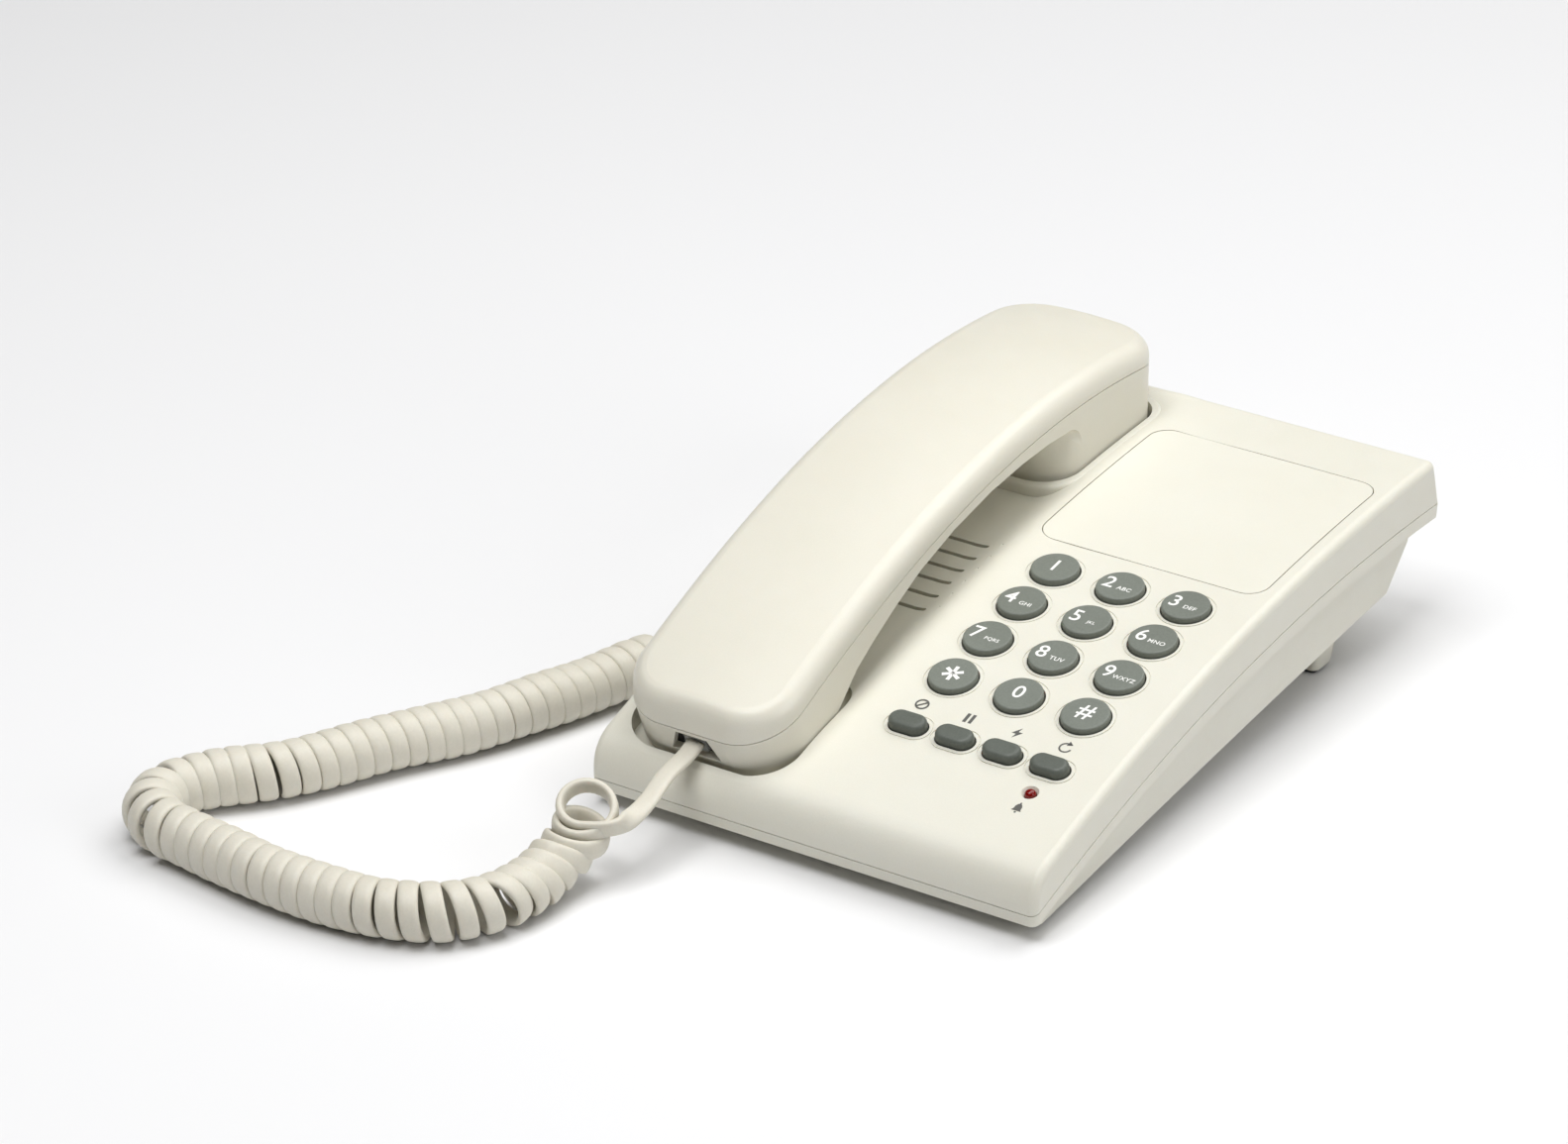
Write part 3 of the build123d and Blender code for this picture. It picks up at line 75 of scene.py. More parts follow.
def plastic(name, color, rough=0.42, grain=2600.0, grain_bump=0.06, spread=0.02, sss=0.0, spec=0.5, dust=0.0, coat=0.0, wear=0.0, wave=0.0):
    """Moulded plastic: cloudy colour, a fine spark-eroded texture, slow ripples of the moulding, and roughness that varies."""
    m, nt, b = new_mat(name)
    L = nt.links
    tc = node(nt, "ShaderNodeTexCoord")
    big = node(nt, "ShaderNodeTexNoise", Scale=28.0, Detail=4.0, Roughness=0.55)
    fine = node(nt, "ShaderNodeTexNoise", Scale=grain, Detail=2.0, Roughness=0.6)
    mid = node(nt, "ShaderNodeTexNoise", Scale=260.0, Detail=3.0, Roughness=0.5)
    for t in (big, fine, mid):
        L.new(tc.outputs["Object"], t.inputs["Vector"])
    ramp = node(nt, "ShaderNodeValToRGB")
    ramp.color_ramp.elements[0].position = 0.3
    ramp.color_ramp.elements[1].position = 0.7
    c = np.array(color)
    warm = c * (1 - spread) * np.array([1.0, 0.995, 0.98])
    ramp.color_ramp.elements[0].color = (*np.clip(warm, 0, 1), 1)
    ramp.color_ramp.elements[1].color = (*np.clip(c * (1 + spread * 0.5), 0, 1), 1)
    L.new(big.outputs["Fac"], ramp.inputs["Fac"])
    col = ramp.outputs["Color"]
    if spread:
        # specks of the pigment
        speck = node(nt, "ShaderNodeMapRange")
        speck.inputs["From Min"].default_value = 0.35
        speck.inputs["From Max"].default_value = 0.65
        speck.inputs["To Min"].default_value = 1.0 - spread * 0.8
        speck.inputs["To Max"].default_value = 1.0 + spread * 0.4
        L.new(fine.outputs["Fac"], speck.inputs["Value"])
        mul = node(nt, "ShaderNodeMix", data_type="RGBA", blend_type="MULTIPLY")
        mul.inputs[0].default_value = 1.0
        L.new(col, mul.inputs[6])
        L.new(speck.outputs["Result"], mul.inputs[7])
        col = mul.outputs[2]
    if wear:
        # edges a little lighter, corners rubbed
        geo = node(nt, "ShaderNodeNewGeometry")
        pr = node(nt, "ShaderNodeMapRange")
        pr.inputs["From Min"].default_value = 0.5
        pr.inputs["From Max"].default_value = 0.62
        pr.inputs["To Min"].default_value = 0.0
        pr.inputs["To Max"].default_value = wear
        L.new(geo.outputs["Pointiness"], pr.inputs["Value"])
        mx = node(nt, "ShaderNodeMix", data_type="RGBA")
        L.new(pr.outputs["Result"], mx.inputs[0])
        L.new(col, mx.inputs[6])
        mx.inputs[7].default_value = (*np.clip(c * 1.5 + 0.03, 0, 1), 1)
        col = mx.outputs[2]
    L.new(col, b.inputs["Base Color"])
    rr = node(nt, "ShaderNodeMapRange")
    rr.inputs["From Min"].default_value = 0.3
    rr.inputs["From Max"].default_value = 0.7
    rr.inputs["To Min"].default_value = rough - 0.05
    rr.inputs["To Max"].default_value = rough + 0.06
    L.new(mid.outputs["Fac"], rr.inputs["Value"])
    L.new(rr.outputs["Result"], b.inputs["Roughness"])
    b1 = node(nt, "ShaderNodeBump")
    b1.inputs["Strength"].default_value = grain_bump
    b1.inputs["Distance"].default_value = 0.00012
    L.new(fine.outputs["Fac"], b1.inputs["Height"])
    b2 = node(nt, "ShaderNodeBump")
    b2.inputs["Strength"].default_value = 0.10 + wave
    b2.inputs["Distance"].default_value = 0.00025
    L.new(big.outputs["Fac"], b2.inputs["Height"])
    L.new(b1.outputs["Normal"], b2.inputs["Normal"])
    L.new(b2.outputs["Normal"], b.inputs["Normal"])
    b.inputs["Specular IOR Level"].default_value = spec
    if sss:
        b.inputs["Subsurface Weight"].default_value = sss
        b.inputs["Subsurface Radius"].default_value = (0.0016, 0.0011, 0.0007)
        b.inputs["Subsurface Scale"].default_value = 1.0
    if coat:
        b.inputs["Coat Weight"].default_value = coat
        b.inputs["Coat Roughness"].default_value = 0.25
    return m


def srgb(r, g, b):
    f = lambda c: (c / 255 / 12.92) if c / 255 <= 0.04045 else ((c / 255 + 0.055) / 1.055) ** 2.4
    return (f(r), f(g), f(b))


def metal(name, color, rough=0.3, brushed=0.0):
    m, nt, b = new_mat(name)
    L = nt.links
    tc = node(nt, "ShaderNodeTexCoord")
    n = node(nt, "ShaderNodeTexNoise", Scale=900.0, Detail=3.0)
    mp = node(nt, "ShaderNodeMapping")
    mp.inputs["Scale"].default_value = (1.0, 1.0 + brushed, 1.0)
    L.new(tc.outputs["Object"], mp.inputs["Vector"])
    L.new(mp.outputs["Vector"], n.inputs["Vector"])
    r = node(nt, "ShaderNodeMapRange")
    r.inputs["To Min"].default_value = rough - 0.1
    r.inputs["To Max"].default_value = rough + 0.15
    L.new(n.outputs["Fac"], r.inputs["Value"])
    L.new(r.outputs["Result"], b.inputs["Roughness"])
    ramp = node(nt, "ShaderNodeValToRGB")
    c = np.array(color)
    ramp.color_ramp.elements[0].color = (*(c * 0.8), 1)
    ramp.color_ramp.elements[1].color = (*np.clip(c * 1.1, 0, 1), 1)
    L.new(n.outputs["Fac"], ramp.inputs["Fac"])
    L.new(ramp.outputs["Color"], b.inputs["Base Color"])
    bp = node(nt, "ShaderNodeBump")
    bp.inputs["Strength"].default_value = 0.15
    bp.inputs["Distance"].default_value = 0.0001
    L.new(n.outputs["Fac"], bp.inputs["Height"])
    L.new(bp.outputs["Normal"], b.inputs["Normal"])
    b.inputs["Metallic"].default_value = 1.0
    return m


IVORY = plastic("ivory_abs", srgb(225, 223, 211), rough=0.40, sss=0.10, spread=0.02, spec=0.45)
IVORY_BASE = plastic("ivory_abs_base", srgb(225, 223, 211), rough=0.43, sss=0.10, spread=0.02, grain_bump=0.09, spec=0.42)
IVORY_HS = plastic("ivory_abs_handset", srgb(226, 223, 210), rough=0.36, sss=0.12, spread=0.018, grain_bump=0.035, spec=0.5)
PANEL = plastic("ivory_panel", srgb(226, 224, 212), rough=0.46, sss=0.08, spread=0.015, grain_bump=0.12, spec=0.4)
KEY = plastic("key_grey", srgb(121, 126, 118), rough=0.48, grain=1800.0, spread=0.10, grain_bump=0.10, wear=0.10, spec=0.4)
CORD = plastic("cord_vinyl", srgb(217, 213, 200), rough=0.44, grain=1500.0, spread=0.03, grain_bump=0.06, sss=0.12, spec=0.42)
# painted shade: a darker copy of the key grey for the four function keys, standing in for the shading on their domed
# tops
KEY_PAINTED_SHADE = plastic("key_grey_painted_shade", srgb(94, 99, 92), rough=0.48, grain=1800.0, spread=0.10, grain_bump=0.10, wear=0.10, spec=0.4)
INK_WHITE = plastic("ink_white", srgb(246, 246, 243), rough=0.5, spread=0.02, grain_bump=0.03)
INK_GREY = plastic("ink_grey", srgb(92, 92, 88), rough=0.5, spread=0.05, grain_bump=0.03)
BLACK = plastic("black_nylon", srgb(26, 26, 27), rough=0.4, spread=0.15, grain_bump=0.06)
RUBBER = plastic("rubber_dark", srgb(58, 58, 57), rough=0.75, spread=0.12, grain=900.0, grain_bump=0.25, spec=0.3)
MAT_RUBBER = plastic("rubber_mat", srgb(92, 94, 92), rough=0.7, spread=0.08, grain=1200.0, grain_bump=0.15, spec=0.3)
BOARD = plastic("board_green", srgb(44, 96, 54), rough=0.35, spread=0.15, grain=1200.0, grain_bump=0.15, coat=0.4)
CAPS = plastic("capacitor_sleeve", srgb(30, 44, 78), rough=0.25, spread=0.08, coat=0.5)
WIRE = plastic("wire_red", srgb(168, 66, 40), rough=0.4, spread=0.08)
SCREW = metal("zinc_screw", (0.62, 0.62, 0.64), 0.32)
STEEL = metal("steel_plate", (0.30, 0.30, 0.31), 0.45, 6.0)
SPRING = metal("spring_wire", (0.55, 0.55, 0.57), 0.25)


def clear_plastic(name, color, rough=0.12, trans=0.85):
    m, nt, b = new_mat(name)
    L = nt.links
    tc = node(nt, "ShaderNodeTexCoord")
    n = node(nt, "ShaderNodeTexNoise", Scale=700.0, Detail=3.0)
    L.new(tc.outputs["Object"], n.inputs["Vector"])
    r = node(nt, "ShaderNodeMapRange")
    r.inputs["To Min"].default_value = rough * 0.6
    r.inputs["To Max"].default_value = rough * 1.6
    L.new(n.outputs["Fac"], r.inputs["Value"])
    L.new(r.outputs["Result"], b.inputs["Roughness"])
    ramp = node(nt, "ShaderNodeValToRGB")
    c = np.array(color)
    ramp.color_ramp.elements[0].color = (*(c * 0.88), 1)
    ramp.color_ramp.elements[1].color = (*np.clip(c * 1.05, 0, 1), 1)
    L.new(n.outputs["Fac"], ramp.inputs["Fac"])
    L.new(ramp.outputs["Color"], b.inputs["Base Color"])
    b.inputs["Transmission Weight"].default_value = trans
    b.inputs["IOR"].default_value = 1.5
    return m


PLUG = clear_plastic("plug_clear", (0.80, 0.80, 0.76), 0.15, 0.75)
LAMP = clear_plastic("lamp_red", (0.35, 0.008, 0.006), 0.08, 0.45)

LOOK = {
    "upper_cover": IVORY_BASE, "lower_housing": IVORY_BASE, "index_panel": PANEL, "handset_upper": IVORY_HS, "handset_lower": IVORY_HS,
    "hook_plunger": IVORY, "coil_cord": CORD, "cord_plug_base": PLUG, "cord_plug_handset": PLUG, "ring_lamp": LAMP,
    "main_board": BOARD, "board_capacitors": CAPS, "base_wires": WIRE, "handset_wires": WIRE, "key_membrane": MAT_RUBBER,
    "front_feet": RUBBER, "rear_feet": RUBBER, "receiver_gasket": RUBBER, "microphone_boot": RUBBER,
    "base_screws": SCREW, "board_screws": SCREW, "handset_screws": SCREW, "hook_spring": SPRING,
    "ballast_plate": STEEL, "handset_weight": STEEL, "microphone": STEEL, "volume_knob": KEY,
}
for name, o in NODES.items():
    # the four function keys take the darker copy of the key grey, which is painted shade
    mat = LOOK.get(name, KEY_PAINTED_SHADE if name in ("key_mute", "key_pause", "key_flash", "key_redial") else KEY if name.startswith("key_") else BLACK)
    o.data.materials.clear()
    o.data.materials.append(mat)


# ---------------------------------------------------------------- mesh helpers
def mesh_object(name, verts, faces, mat, smooth=True):
    me = bpy.data.meshes.new(name)
    me.from_pydata([tuple(v) for v in verts], [], faces)
    me.validate()
    me.update()
    o = bpy.data.objects.new(name, me)
    bpy.context.scene.collection.objects.link(o)
    me.materials.append(mat)
    if smooth:
        me.polygons.foreach_set("use_smooth", [True] * len(me.polygons))
    return o


def spline_points(ctrl, n):
    """Centripetal Catmull-Rom through the control points, evenly spaced."""
    P = np.array(ctrl, float)
    P = np.vstack([2 * P[0] - P[1], P, 2 * P[-1] - P[-2]])
    out = []
    for i in range(1, len(P) - 2):
        p0, p1, p2, p3 = P[i - 1:i + 3]
        t0 = 0.0
        t1 = t0 + np.linalg.norm(p1 - p0) ** 0.5
        t2 = t1 + np.linalg.norm(p2 - p1) ** 0.5
        t3 = t2 + np.linalg.norm(p3 - p2) ** 0.5
        t = np.linspace(t1, t2, 60, endpoint=False)[:, None]
        A1 = (t1 - t) / (t1 - t0) * p0 + (t - t0) / (t1 - t0) * p1
        A2 = (t2 - t) / (t2 - t1) * p1 + (t - t1) / (t2 - t1) * p2
        A3 = (t3 - t) / (t3 - t2) * p2 + (t - t2) / (t3 - t2) * p3
        B1 = (t2 - t) / (t2 - t0) * A1 + (t - t0) / (t2 - t0) * A2
        B2 = (t3 - t) / (t3 - t1) * A2 + (t - t1) / (t3 - t1) * A3
        out.append((t2 - t) / (t2 - t1) * B1 + (t - t1) / (t2 - t1) * B2)
    out.append(P[-2][None])
    C = np.vstack(out)
    s = np.concatenate([[0], np.cumsum(np.linalg.norm(np.diff(C, axis=0), axis=1))])
    u = np.linspace(0, s[-1], n)
    return np.stack([np.interp(u, s, C[:, k]) for k in range(3)], 1), u


def smooth_rows(C, k):
    for _ in range(k):
        D = C.copy()
        D[1:-1] = (C[:-2] + 2 * C[1:-1] + C[2:]) / 4
        C = D
    return C


def transport(C, up):
    T = np.gradient(C, axis=0)
    T /= np.linalg.norm(T, axis=1)[:, None]
    N = np.zeros_like(T)
    n = np.array(up, float)
    n -= n @ T[0] * T[0]
    N[0] = n / np.linalg.norm(n)
    for i in range(1, len(T)):
        n = N[i - 1] - N[i - 1] @ T[i] * T[i]
        N[i] = n / np.linalg.norm(n)
    return T, N, np.cross(T, N)


def flat_section(n, half_w, half_t, power=3.0):
    """Outline of the flat cord: x across the strand, y through it."""
    a = np.linspace(0, 2 * np.pi, n, endpoint=False)
    c, s = np.cos(a), np.sin(a)
    r = (np.abs(c) ** power + np.abs(s) ** power) ** (-1 / power)
    return np.stack([half_w * r * c, half_t * r * s], 1)


def strip(name, P, W, U, section, mat):
    """Sweeps a closed section along P; W is the direction across the strand and U the one through it."""
    n, k = len(P), len(section)
    V = P[:, None, :] + section[None, :, 0, None] * W[:, None, :] + section[None, :, 1, None] * U[:, None, :]
    verts = V.reshape(-1, 3) * MM
    faces = []
    for i in range(n - 1):
        for j in range(k):
            a, b = i * k + j, i * k + (j + 1) % k
            faces.append((a, b, b + k, a + k))
    faces.append(tuple(range(k - 1, -1, -1)))
    faces.append(tuple((n - 1) * k + j for j in range(k)))
    o = mesh_object(name, verts, faces, mat)
    bm = bmesh.new()
    bm.from_mesh(o.data)
    bmesh.ops.recalc_face_normals(bm, faces=bm.faces)
    bm.to_mesh(o.data)
    bm.free()
    return o


# ---------------------------------------------------------------- coiled cord
COIL_R = 6.3                       # radius to the middle of the strand
STRAND_W, STRAND_T = 2.5, 1.08    # half width and half thickness of the strand
# the first turns fan open towards the handset: where each turn sits and which way its axis points, by turn number
FAN = [(0.0, (-44.9, -29.3, 19.6), (0.15, -0.46, 0.875)), (0.5, (-44.9, -29.6, 18.7), (0.15, -0.40, 0.90)), (1.5, (-44.8, -32.4, 13.6), (0.11, -0.02, 0.99)),
       (2.5, (-45.9, -37.2, 10.3), (0.06, 0.52, 0.85)), (3.5, (-46.7, -42.4, 8.5), (0.0, 0.80, 0.60))]
AXIS = [(-46.7, -42.6, 7.8), (-46.6, -51.4, 7.5),
        (-48.6, -62.5, 7.5), (-56.5, -74.0, 7.5), (-69.0, -80.4, 7.5), (-84.8, -82.5, 7.5), (-101.7, -82.6, 7.5), (-115.0, -80.8, 7.5), (-128.6, -79.0, 7.5),
        (-139.2, -77.2, 7.5), (-146.6, -71.6, 7.5), (-149.0, -62.6, 7.5), (-144.3, -53.4, 7.5), (-132.9, -40.6, 7.5), (-123.0, -23.0, 7.5), (-112.9, -4.8, 7.5),
        (-102.8, 13.8, 7.5), (-96.6, 29.9, 7.5), (-92.4, 42.5, 7.5), (-88.8, 53.2, 7.5), (-86.0, 60.0, 7.5)]
STEPS = 9000
PATH, PS = spline_points(AXIS, STEPS)
PATH = smooth_rows(PATH, 400)
PT = np.gradient(PATH, axis=0)
PT /= np.linalg.norm(PT, axis=1)[:, None]
ds = PS[1] - PS[0]
curv = np.linalg.norm(np.gradient(PT, axis=0), axis=1) / ds
curv = smooth_rows(curv[:, None], 500)[:, 0]
pitch = 4.86 + 22.0 * np.clip(curv - 0.008, 0, None)
pitch += 0.35 * np.exp(-((PS - 10.0) / 16.0) ** 2)
pitch *= 1 + 0.02 * np.sin(PS / 13.0) + 0.015 * np.sin(PS / 5.3 + 1.0)
turn_of = 3.5 + np.concatenate([[0], np.cumsum(ds / (0.5 * (pitch[1:] + pitch[:-1])))])
# one track by turn number: the fan first, then the run along the desk
LAY = [(5.0, (0.0, 0.92, 0.38)), (6.0, (0.0, 0.97, 0.22)), (7.0, (0.0, 0.995, 0.09))]
uk = [f[0] for f in FAN] + list(np.arange(4.5, turn_of[-1], 0.5)) + [turn_of[-1]]
ck = [f[1] for f in FAN] + [tuple(np.interp(q, turn_of, PATH[:, k]) for k in range(3)) for q in uk[len(FAN):]]
U_T = np.arange(0.0, turn_of[-1], 1.0 / 90)


def track(q, u, v):
    """Smooth interpolation of rows v at u, Hermite with finite-difference slopes."""
    u, v = np.array(u, float), np.array(v, float)
    m = np.zeros_like(v)
    h = np.diff(u)[:, None]
    dv = np.diff(v, axis=0) / h
    m[1:-1] = (dv[:-1] * h[1:] + dv[1:] * h[:-1]) / (h[1:] + h[:-1])
    m[0], m[-1] = dv[0], dv[-1]
    k = np.clip(np.searchsorted(u, q, side="right") - 1, 0, len(u) - 2)
    t = ((q - u[k]) / (u[k + 1] - u[k]))[:, None]
    hh = (u[k + 1] - u[k])[:, None]
    return (2 * t**3 - 3 * t**2 + 1) * v[k] + (t**3 - 2 * t**2 + t) * hh * m[k] + (-2 * t**3 + 3 * t**2) * v[k + 1] + (t**3 - t**2) * hh * m[k + 1]


C = track(U_T, uk, ck)
S = np.interp(U_T, turn_of, PS)
ak, av = [f[0] for f in FAN] + [l[0] for l in LAY], [f[2] for f in FAN] + [l[1] for l in LAY]
ak += [8.0]
av += [tuple(-np.array([np.interp(8.0, turn_of, PT[:, k]) for k in range(3)]))]
A_FAN = track(np.clip(U_T, 0, 8.0), ak, av)
A_PATH = -np.stack([np.interp(U_T, turn_of, PT[:, k]) for k in range(3)], 1)
A_ALL = np.where((U_T < 8.0)[:, None], A_FAN, A_PATH)
T = -A_ALL / np.linalg.norm(A_ALL, axis=1)[:, None]
LEAVE = np.array([0.429, -0.806, -0.407])
N = np.zeros_like(T)
n = LEAVE - LEAVE @ T[0] * T[0]
N[0] = n / np.linalg.norm(n)
for i in range(1, len(T)):
    n = N[i - 1] - N[i - 1] @ T[i] * T[i]
    N[i] = n / np.linalg.norm(n)
B = np.cross(T, N)
phi = 2 * np.pi * U_T
# the turns are not perfectly alike: each leans and shifts a little
calm = np.clip((U_T - 5) / 5, 0, 1)
side = 0.22 * np.sin(S / 6.1 + 0.7) * calm
rad = COIL_R + 0.10 * np.sin(S / 4.7) * calm + 0.55 * np.clip((2.6 - U_T) / 1.4, 0, 1)
E_R = np.cos(phi)[:, None] * N + np.sin(phi)[:, None] * B
HEL = C + rad[:, None] * E_R + side[:, None] * N
HEL[:, 2] += np.clip((STRAND_T + 0.15 + 0.08) - HEL[:, 2], 0, None) * 0.9


def strand_frames(P, R_DIR):
    tan = np.gradient(P, axis=0)
    tan /= np.linalg.norm(tan, axis=1)[:, None]
    U = R_DIR - (R_DIR * tan).sum(1)[:, None] * tan
    U /= np.linalg.norm(U, axis=1)[:, None]
    return tan, np.cross(tan, U), U


turns = phi / (2 * np.pi)
# samples evenly spaced in turns
per_turn = 30
ti = np.arange(turns[0], turns[-1], 1.0 / per_turn)
take = lambda A: np.stack([np.interp(ti, turns, A[:, k]) for k in range(A.shape[1])], 1)
HP, HR = take(HEL), take(E_R)
HR /= np.linalg.norm(HR, axis=1)[:, None]
HS_ = np.interp(ti, turns, S)

# lead to the handset: leaves the last turn along its tangent and climbs into the notch
tan0 = HP[0] - HP[1]
tan0 /= np.linalg.norm(tan0)
PLUG_AT = np.array([-36.4, 5.1, 23.45])
TL = math.radians(22.6)
PLUG_DIR = np.array([0, -math.cos(TL), -math.sin(TL)])
p3, t3 = HP[0], tan0
bez = lambda a, b, c, d, n: np.array([(1 - t) ** 3 * a + 3 * (1 - t) ** 2 * t * b + 3 * (1 - t) * t * t * c + t ** 3 * d for t in np.linspace(0, 1, n)])
p0 = PLUG_AT
LEAD, _ = spline_points([tuple(p0), tuple(p0 + PLUG_DIR * 4.2), (-36.2, -8.5, 20.6), (-34.9, -18.0, 18.4), (-34.9, -26.0, 17.0), tuple(p3 + t3 * 6.5 + np.array([0, 0.4, 0])), tuple(p3 + t3 * 2.2), tuple(p3)], 90)
LEAD = smooth_rows(LEAD, 30)
u0 = np.array([0, math.sin(TL) * -1.0, math.cos(TL)])
tanL = np.gradient(LEAD, axis=0)
tanL /= np.linalg.norm(tanL, axis=1)[:, None]
mix = np.linspace(0, 1, len(LEAD))
mix = np.clip((mix - 0.30) / 0.70, 0, 1) ** 1.3
mix = mix * mix * (3 - 2 * mix)
UL = (1 - mix)[:, None] * u0 + mix[:, None] * HR[0]
P_ALL = np.vstack([LEAD[:-1], HP])
R_ALL = np.vstack([UL[:-1], HR])
split = int(np.argmin(np.abs(HS_ - np.interp(-145.5, -C[:STEPS // 2, 0] * -1, S[:STEPS // 2])))) if False else int(np.argmax(HP[:, 0] < -148.0))
cut = len(LEAD) - 1 + split
sec = flat_section(28, STRAND_W, STRAND_T, 2.8)
Y_SHIFT = np.array([0, Y_F, 0])
tanA, WA, UA = strand_frames(P_ALL, R_ALL)

# lead to the base: leaves the last turn and climbs to the plug in the left wall
last, tl = HP[-1], HP[-1] - HP[-2]
tl /= np.linalg.norm(tl)
BP = np.array([-62.65, 85.0, 17.0])
LEAD2 = bez(last, last + tl * 11.0, BP + np.array([-13.0, 0, -1.0]), BP, 60)
mix = np.linspace(0, 1, len(LEAD2))
mix = mix * mix * (3 - 2 * mix)
UL2 = (1 - mix)[:, None] * HR[-1] + mix[:, None] * np.array([0, 0, 1.0])
P_B = np.vstack([HP[split:], LEAD2[1:]])
R_B = np.vstack([HR[split:], UL2[1:]])
tanB, WB, UB = strand_frames(P_B, R_B)
front = strip("cord_front_half", P_ALL[:cut + 2] + Y_SHIFT, WA[:cut + 2], UA[:cut + 2], sec, CORD)
back = strip("cord_rear_half", P_B + Y_SHIFT, WB, UB, sec, CORD)
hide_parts("coil_cord")
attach(back, "base")
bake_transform(front)


# ---------------------------------------------------------------- printing on the keys and the deck
KEY_D, KEY_OUT = 12.5, 1.6
DIAL = [(n, r, c) for r, row in enumerate((("1", "2", "3"), ("4", "5", "6"), ("7", "8", "9"), ("star", "0", "hash"))) for c, n in enumerate(row)]
DIAL_AT = {n: (27.2 + (c - 1) * 19.05, 102.3 - r * 16.26) for n, r, c in DIAL}
LETTERS = {"2": "ABC", "3": "DEF", "4": "GHI", "5": "JKL", "6": "MNO", "7": "PQRS", "8": "TUV", "9": "WXYZ"}


def text_outline(body, size, bold, spacing=1.0):
    cu = bpy.data.curves.new("t", "FONT")
    cu.body = body
    cu.size = size
    cu.offset = bold
    cu.space_character = spacing
    cu.align_x = "LEFT"
    cu.resolution_u = 6
    o = bpy.data.objects.new("t", cu)
    bpy.context.scene.collection.objects.link(o)
    bpy.context.view_layer.update()
    me = bpy.data.meshes.new_from_object(o.evaluated_get(bpy.context.evaluated_depsgraph_get()))
    bpy.data.objects.remove(o)
    bm = bmesh.new()
    bm.from_mesh(me)
    bmesh.ops.remove_doubles(bm, verts=bm.verts, dist=1e-5)
    return bm


def shape_bm(polys):
    """Flat shapes from outlines in millimetres."""
    bm = bmesh.new()
    for p in polys:
        vs = [bm.verts.new((x, y, 0)) for x, y in p]
        bm.faces.new(vs)
    bmesh.ops.triangulate(bm, faces=bm.faces)
    return bm


def fit(bm, cx, cy, height=None, width=None):
    co = np.array([v.co[:] for v in bm.verts])
    lo, hi = co.min(0), co.max(0)
    k = (height / (hi[1] - lo[1])) if height else width / (hi[0] - lo[0])
    kx = width / (hi[0] - lo[0]) if width else k
    for v in bm.verts:
        v.co.x = (v.co.x - (lo[0] + hi[0]) / 2) * kx + cx
        v.co.y = (v.co.y - (lo[1] + hi[1]) / 2) * k + cy
    return bm


def thicken(name, bms, place, mat, t=0.05):
    """Gives flat shapes a thin printed thickness and lays them on a surface; place(x, y, h) gives the point in mm."""
    me = bpy.data.meshes.new(name)
    out = bmesh.new()
    for bm in bms:
        bmesh.ops.dissolve_degenerate(bm, dist=1e-6, edges=bm.edges)
        faces = list(bm.faces)
        top = {v: out.verts.new(place(v.co.x, v.co.y, t)) for v in bm.verts}
        low = {v: out.verts.new(place(v.co.x, v.co.y, -0.03)) for v in bm.verts}
        for f in faces:
            if f.normal.z < 0:
                f.normal_flip()
            vs = [v for v in f.verts]
            out.faces.new([top[v] for v in vs])
            out.faces.new([low[v] for v in reversed(vs)])
        for e in bm.edges:
            if len(e.link_faces) == 1:
                f = e.link_faces[0]
                vs = list(f.verts)
                i = vs.index(e.verts[0])
                a, b = (e.verts[0], e.verts[1]) if vs[(i + 1) % len(vs)] is e.verts[1] else (e.verts[1], e.verts[0])
                out.faces.new([top[b], top[a], low[a], low[b]])
        bm.free()
    for v in out.verts:
        v.co *= MM
    bmesh.ops.recalc_face_normals(out, faces=out.faces)
    out.to_mesh(me)
    out.free()
    o = bpy.data.objects.new(name, me)
    bpy.context.scene.collection.objects.link(o)
    me.materials.append(mat)
    return o


def on_deck(x0, y0, lift):
    """A flat drawing (x right, y up the deck, mm) laid on the deck around (x0, y0), lifted by lift."""
    s = math.atan(deck_slope(y0))
    n, u = np.array([0, -math.sin(s), math.cos(s)]), np.array([0, math.cos(s), math.sin(s)])
    o = np.array([x0, y0 + Y_F, deck(y0)])
    return lambda x, y, h: tuple(o + np.array([x, 0, 0]) + u * y + n * (lift(x, y) + h))


for n, (x, y) in DIAL_AT.items():
    place = on_deck(x, y, lambda a, b: KEY_OUT)
    if n in LETTERS:
        bms = [fit(text_outline(n, 5.0, 0.035), -3.05, 0.3, height=4.6),
               fit(text_outline(LETTERS[n], 1.6, 0.012, 1.05), 1.75 if len(LETTERS[n]) < 4 else 1.9, -1.12, height=1.45)]
    elif n == "star":
        arms = []
        for k in range(6):
            a = math.radians(90 + 60 * k)
            d, p = (math.cos(a), math.sin(a)), (-math.sin(a), math.cos(a))
            r0, r1, w = 0.0, 2.75, 0.45
            arms.append([(d[0] * r0 - p[0] * w, d[1] * r0 - p[1] * w), (d[0] * r1 - p[0] * w * 1.15, d[1] * r1 - p[1] * w * 1.15), (d[0] * r1 + p[0] * w * 1.15, d[1] * r1 + p[1] * w * 1.15), (d[0] * r0 + p[0] * w, d[1] * r0 + p[1] * w)])
        bms = [shape_bm([a]) for a in arms]
        bms = [fit(b, *(np.array([[v.co.x, v.co.y] for v in b.verts]).min(0) + np.array([[v.co.x, v.co.y] for v in b.verts]).max(0)) / 2, height=float(np.ptp([v.co.y for v in b.verts]))) for b in bms]
    elif n == "hash":
        bms = [fit(text_outline("#", 6.0, 0.05), 0.0, 0.3, height=5.3)]
    else:
        bms = [fit(text_outline(n, 5.0, 0.035), -0.1, 0.5, height=4.6)]
    o = thicken("print_" + n, bms, place, INK_WHITE)
    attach(o, "key_%s_cap" % n)


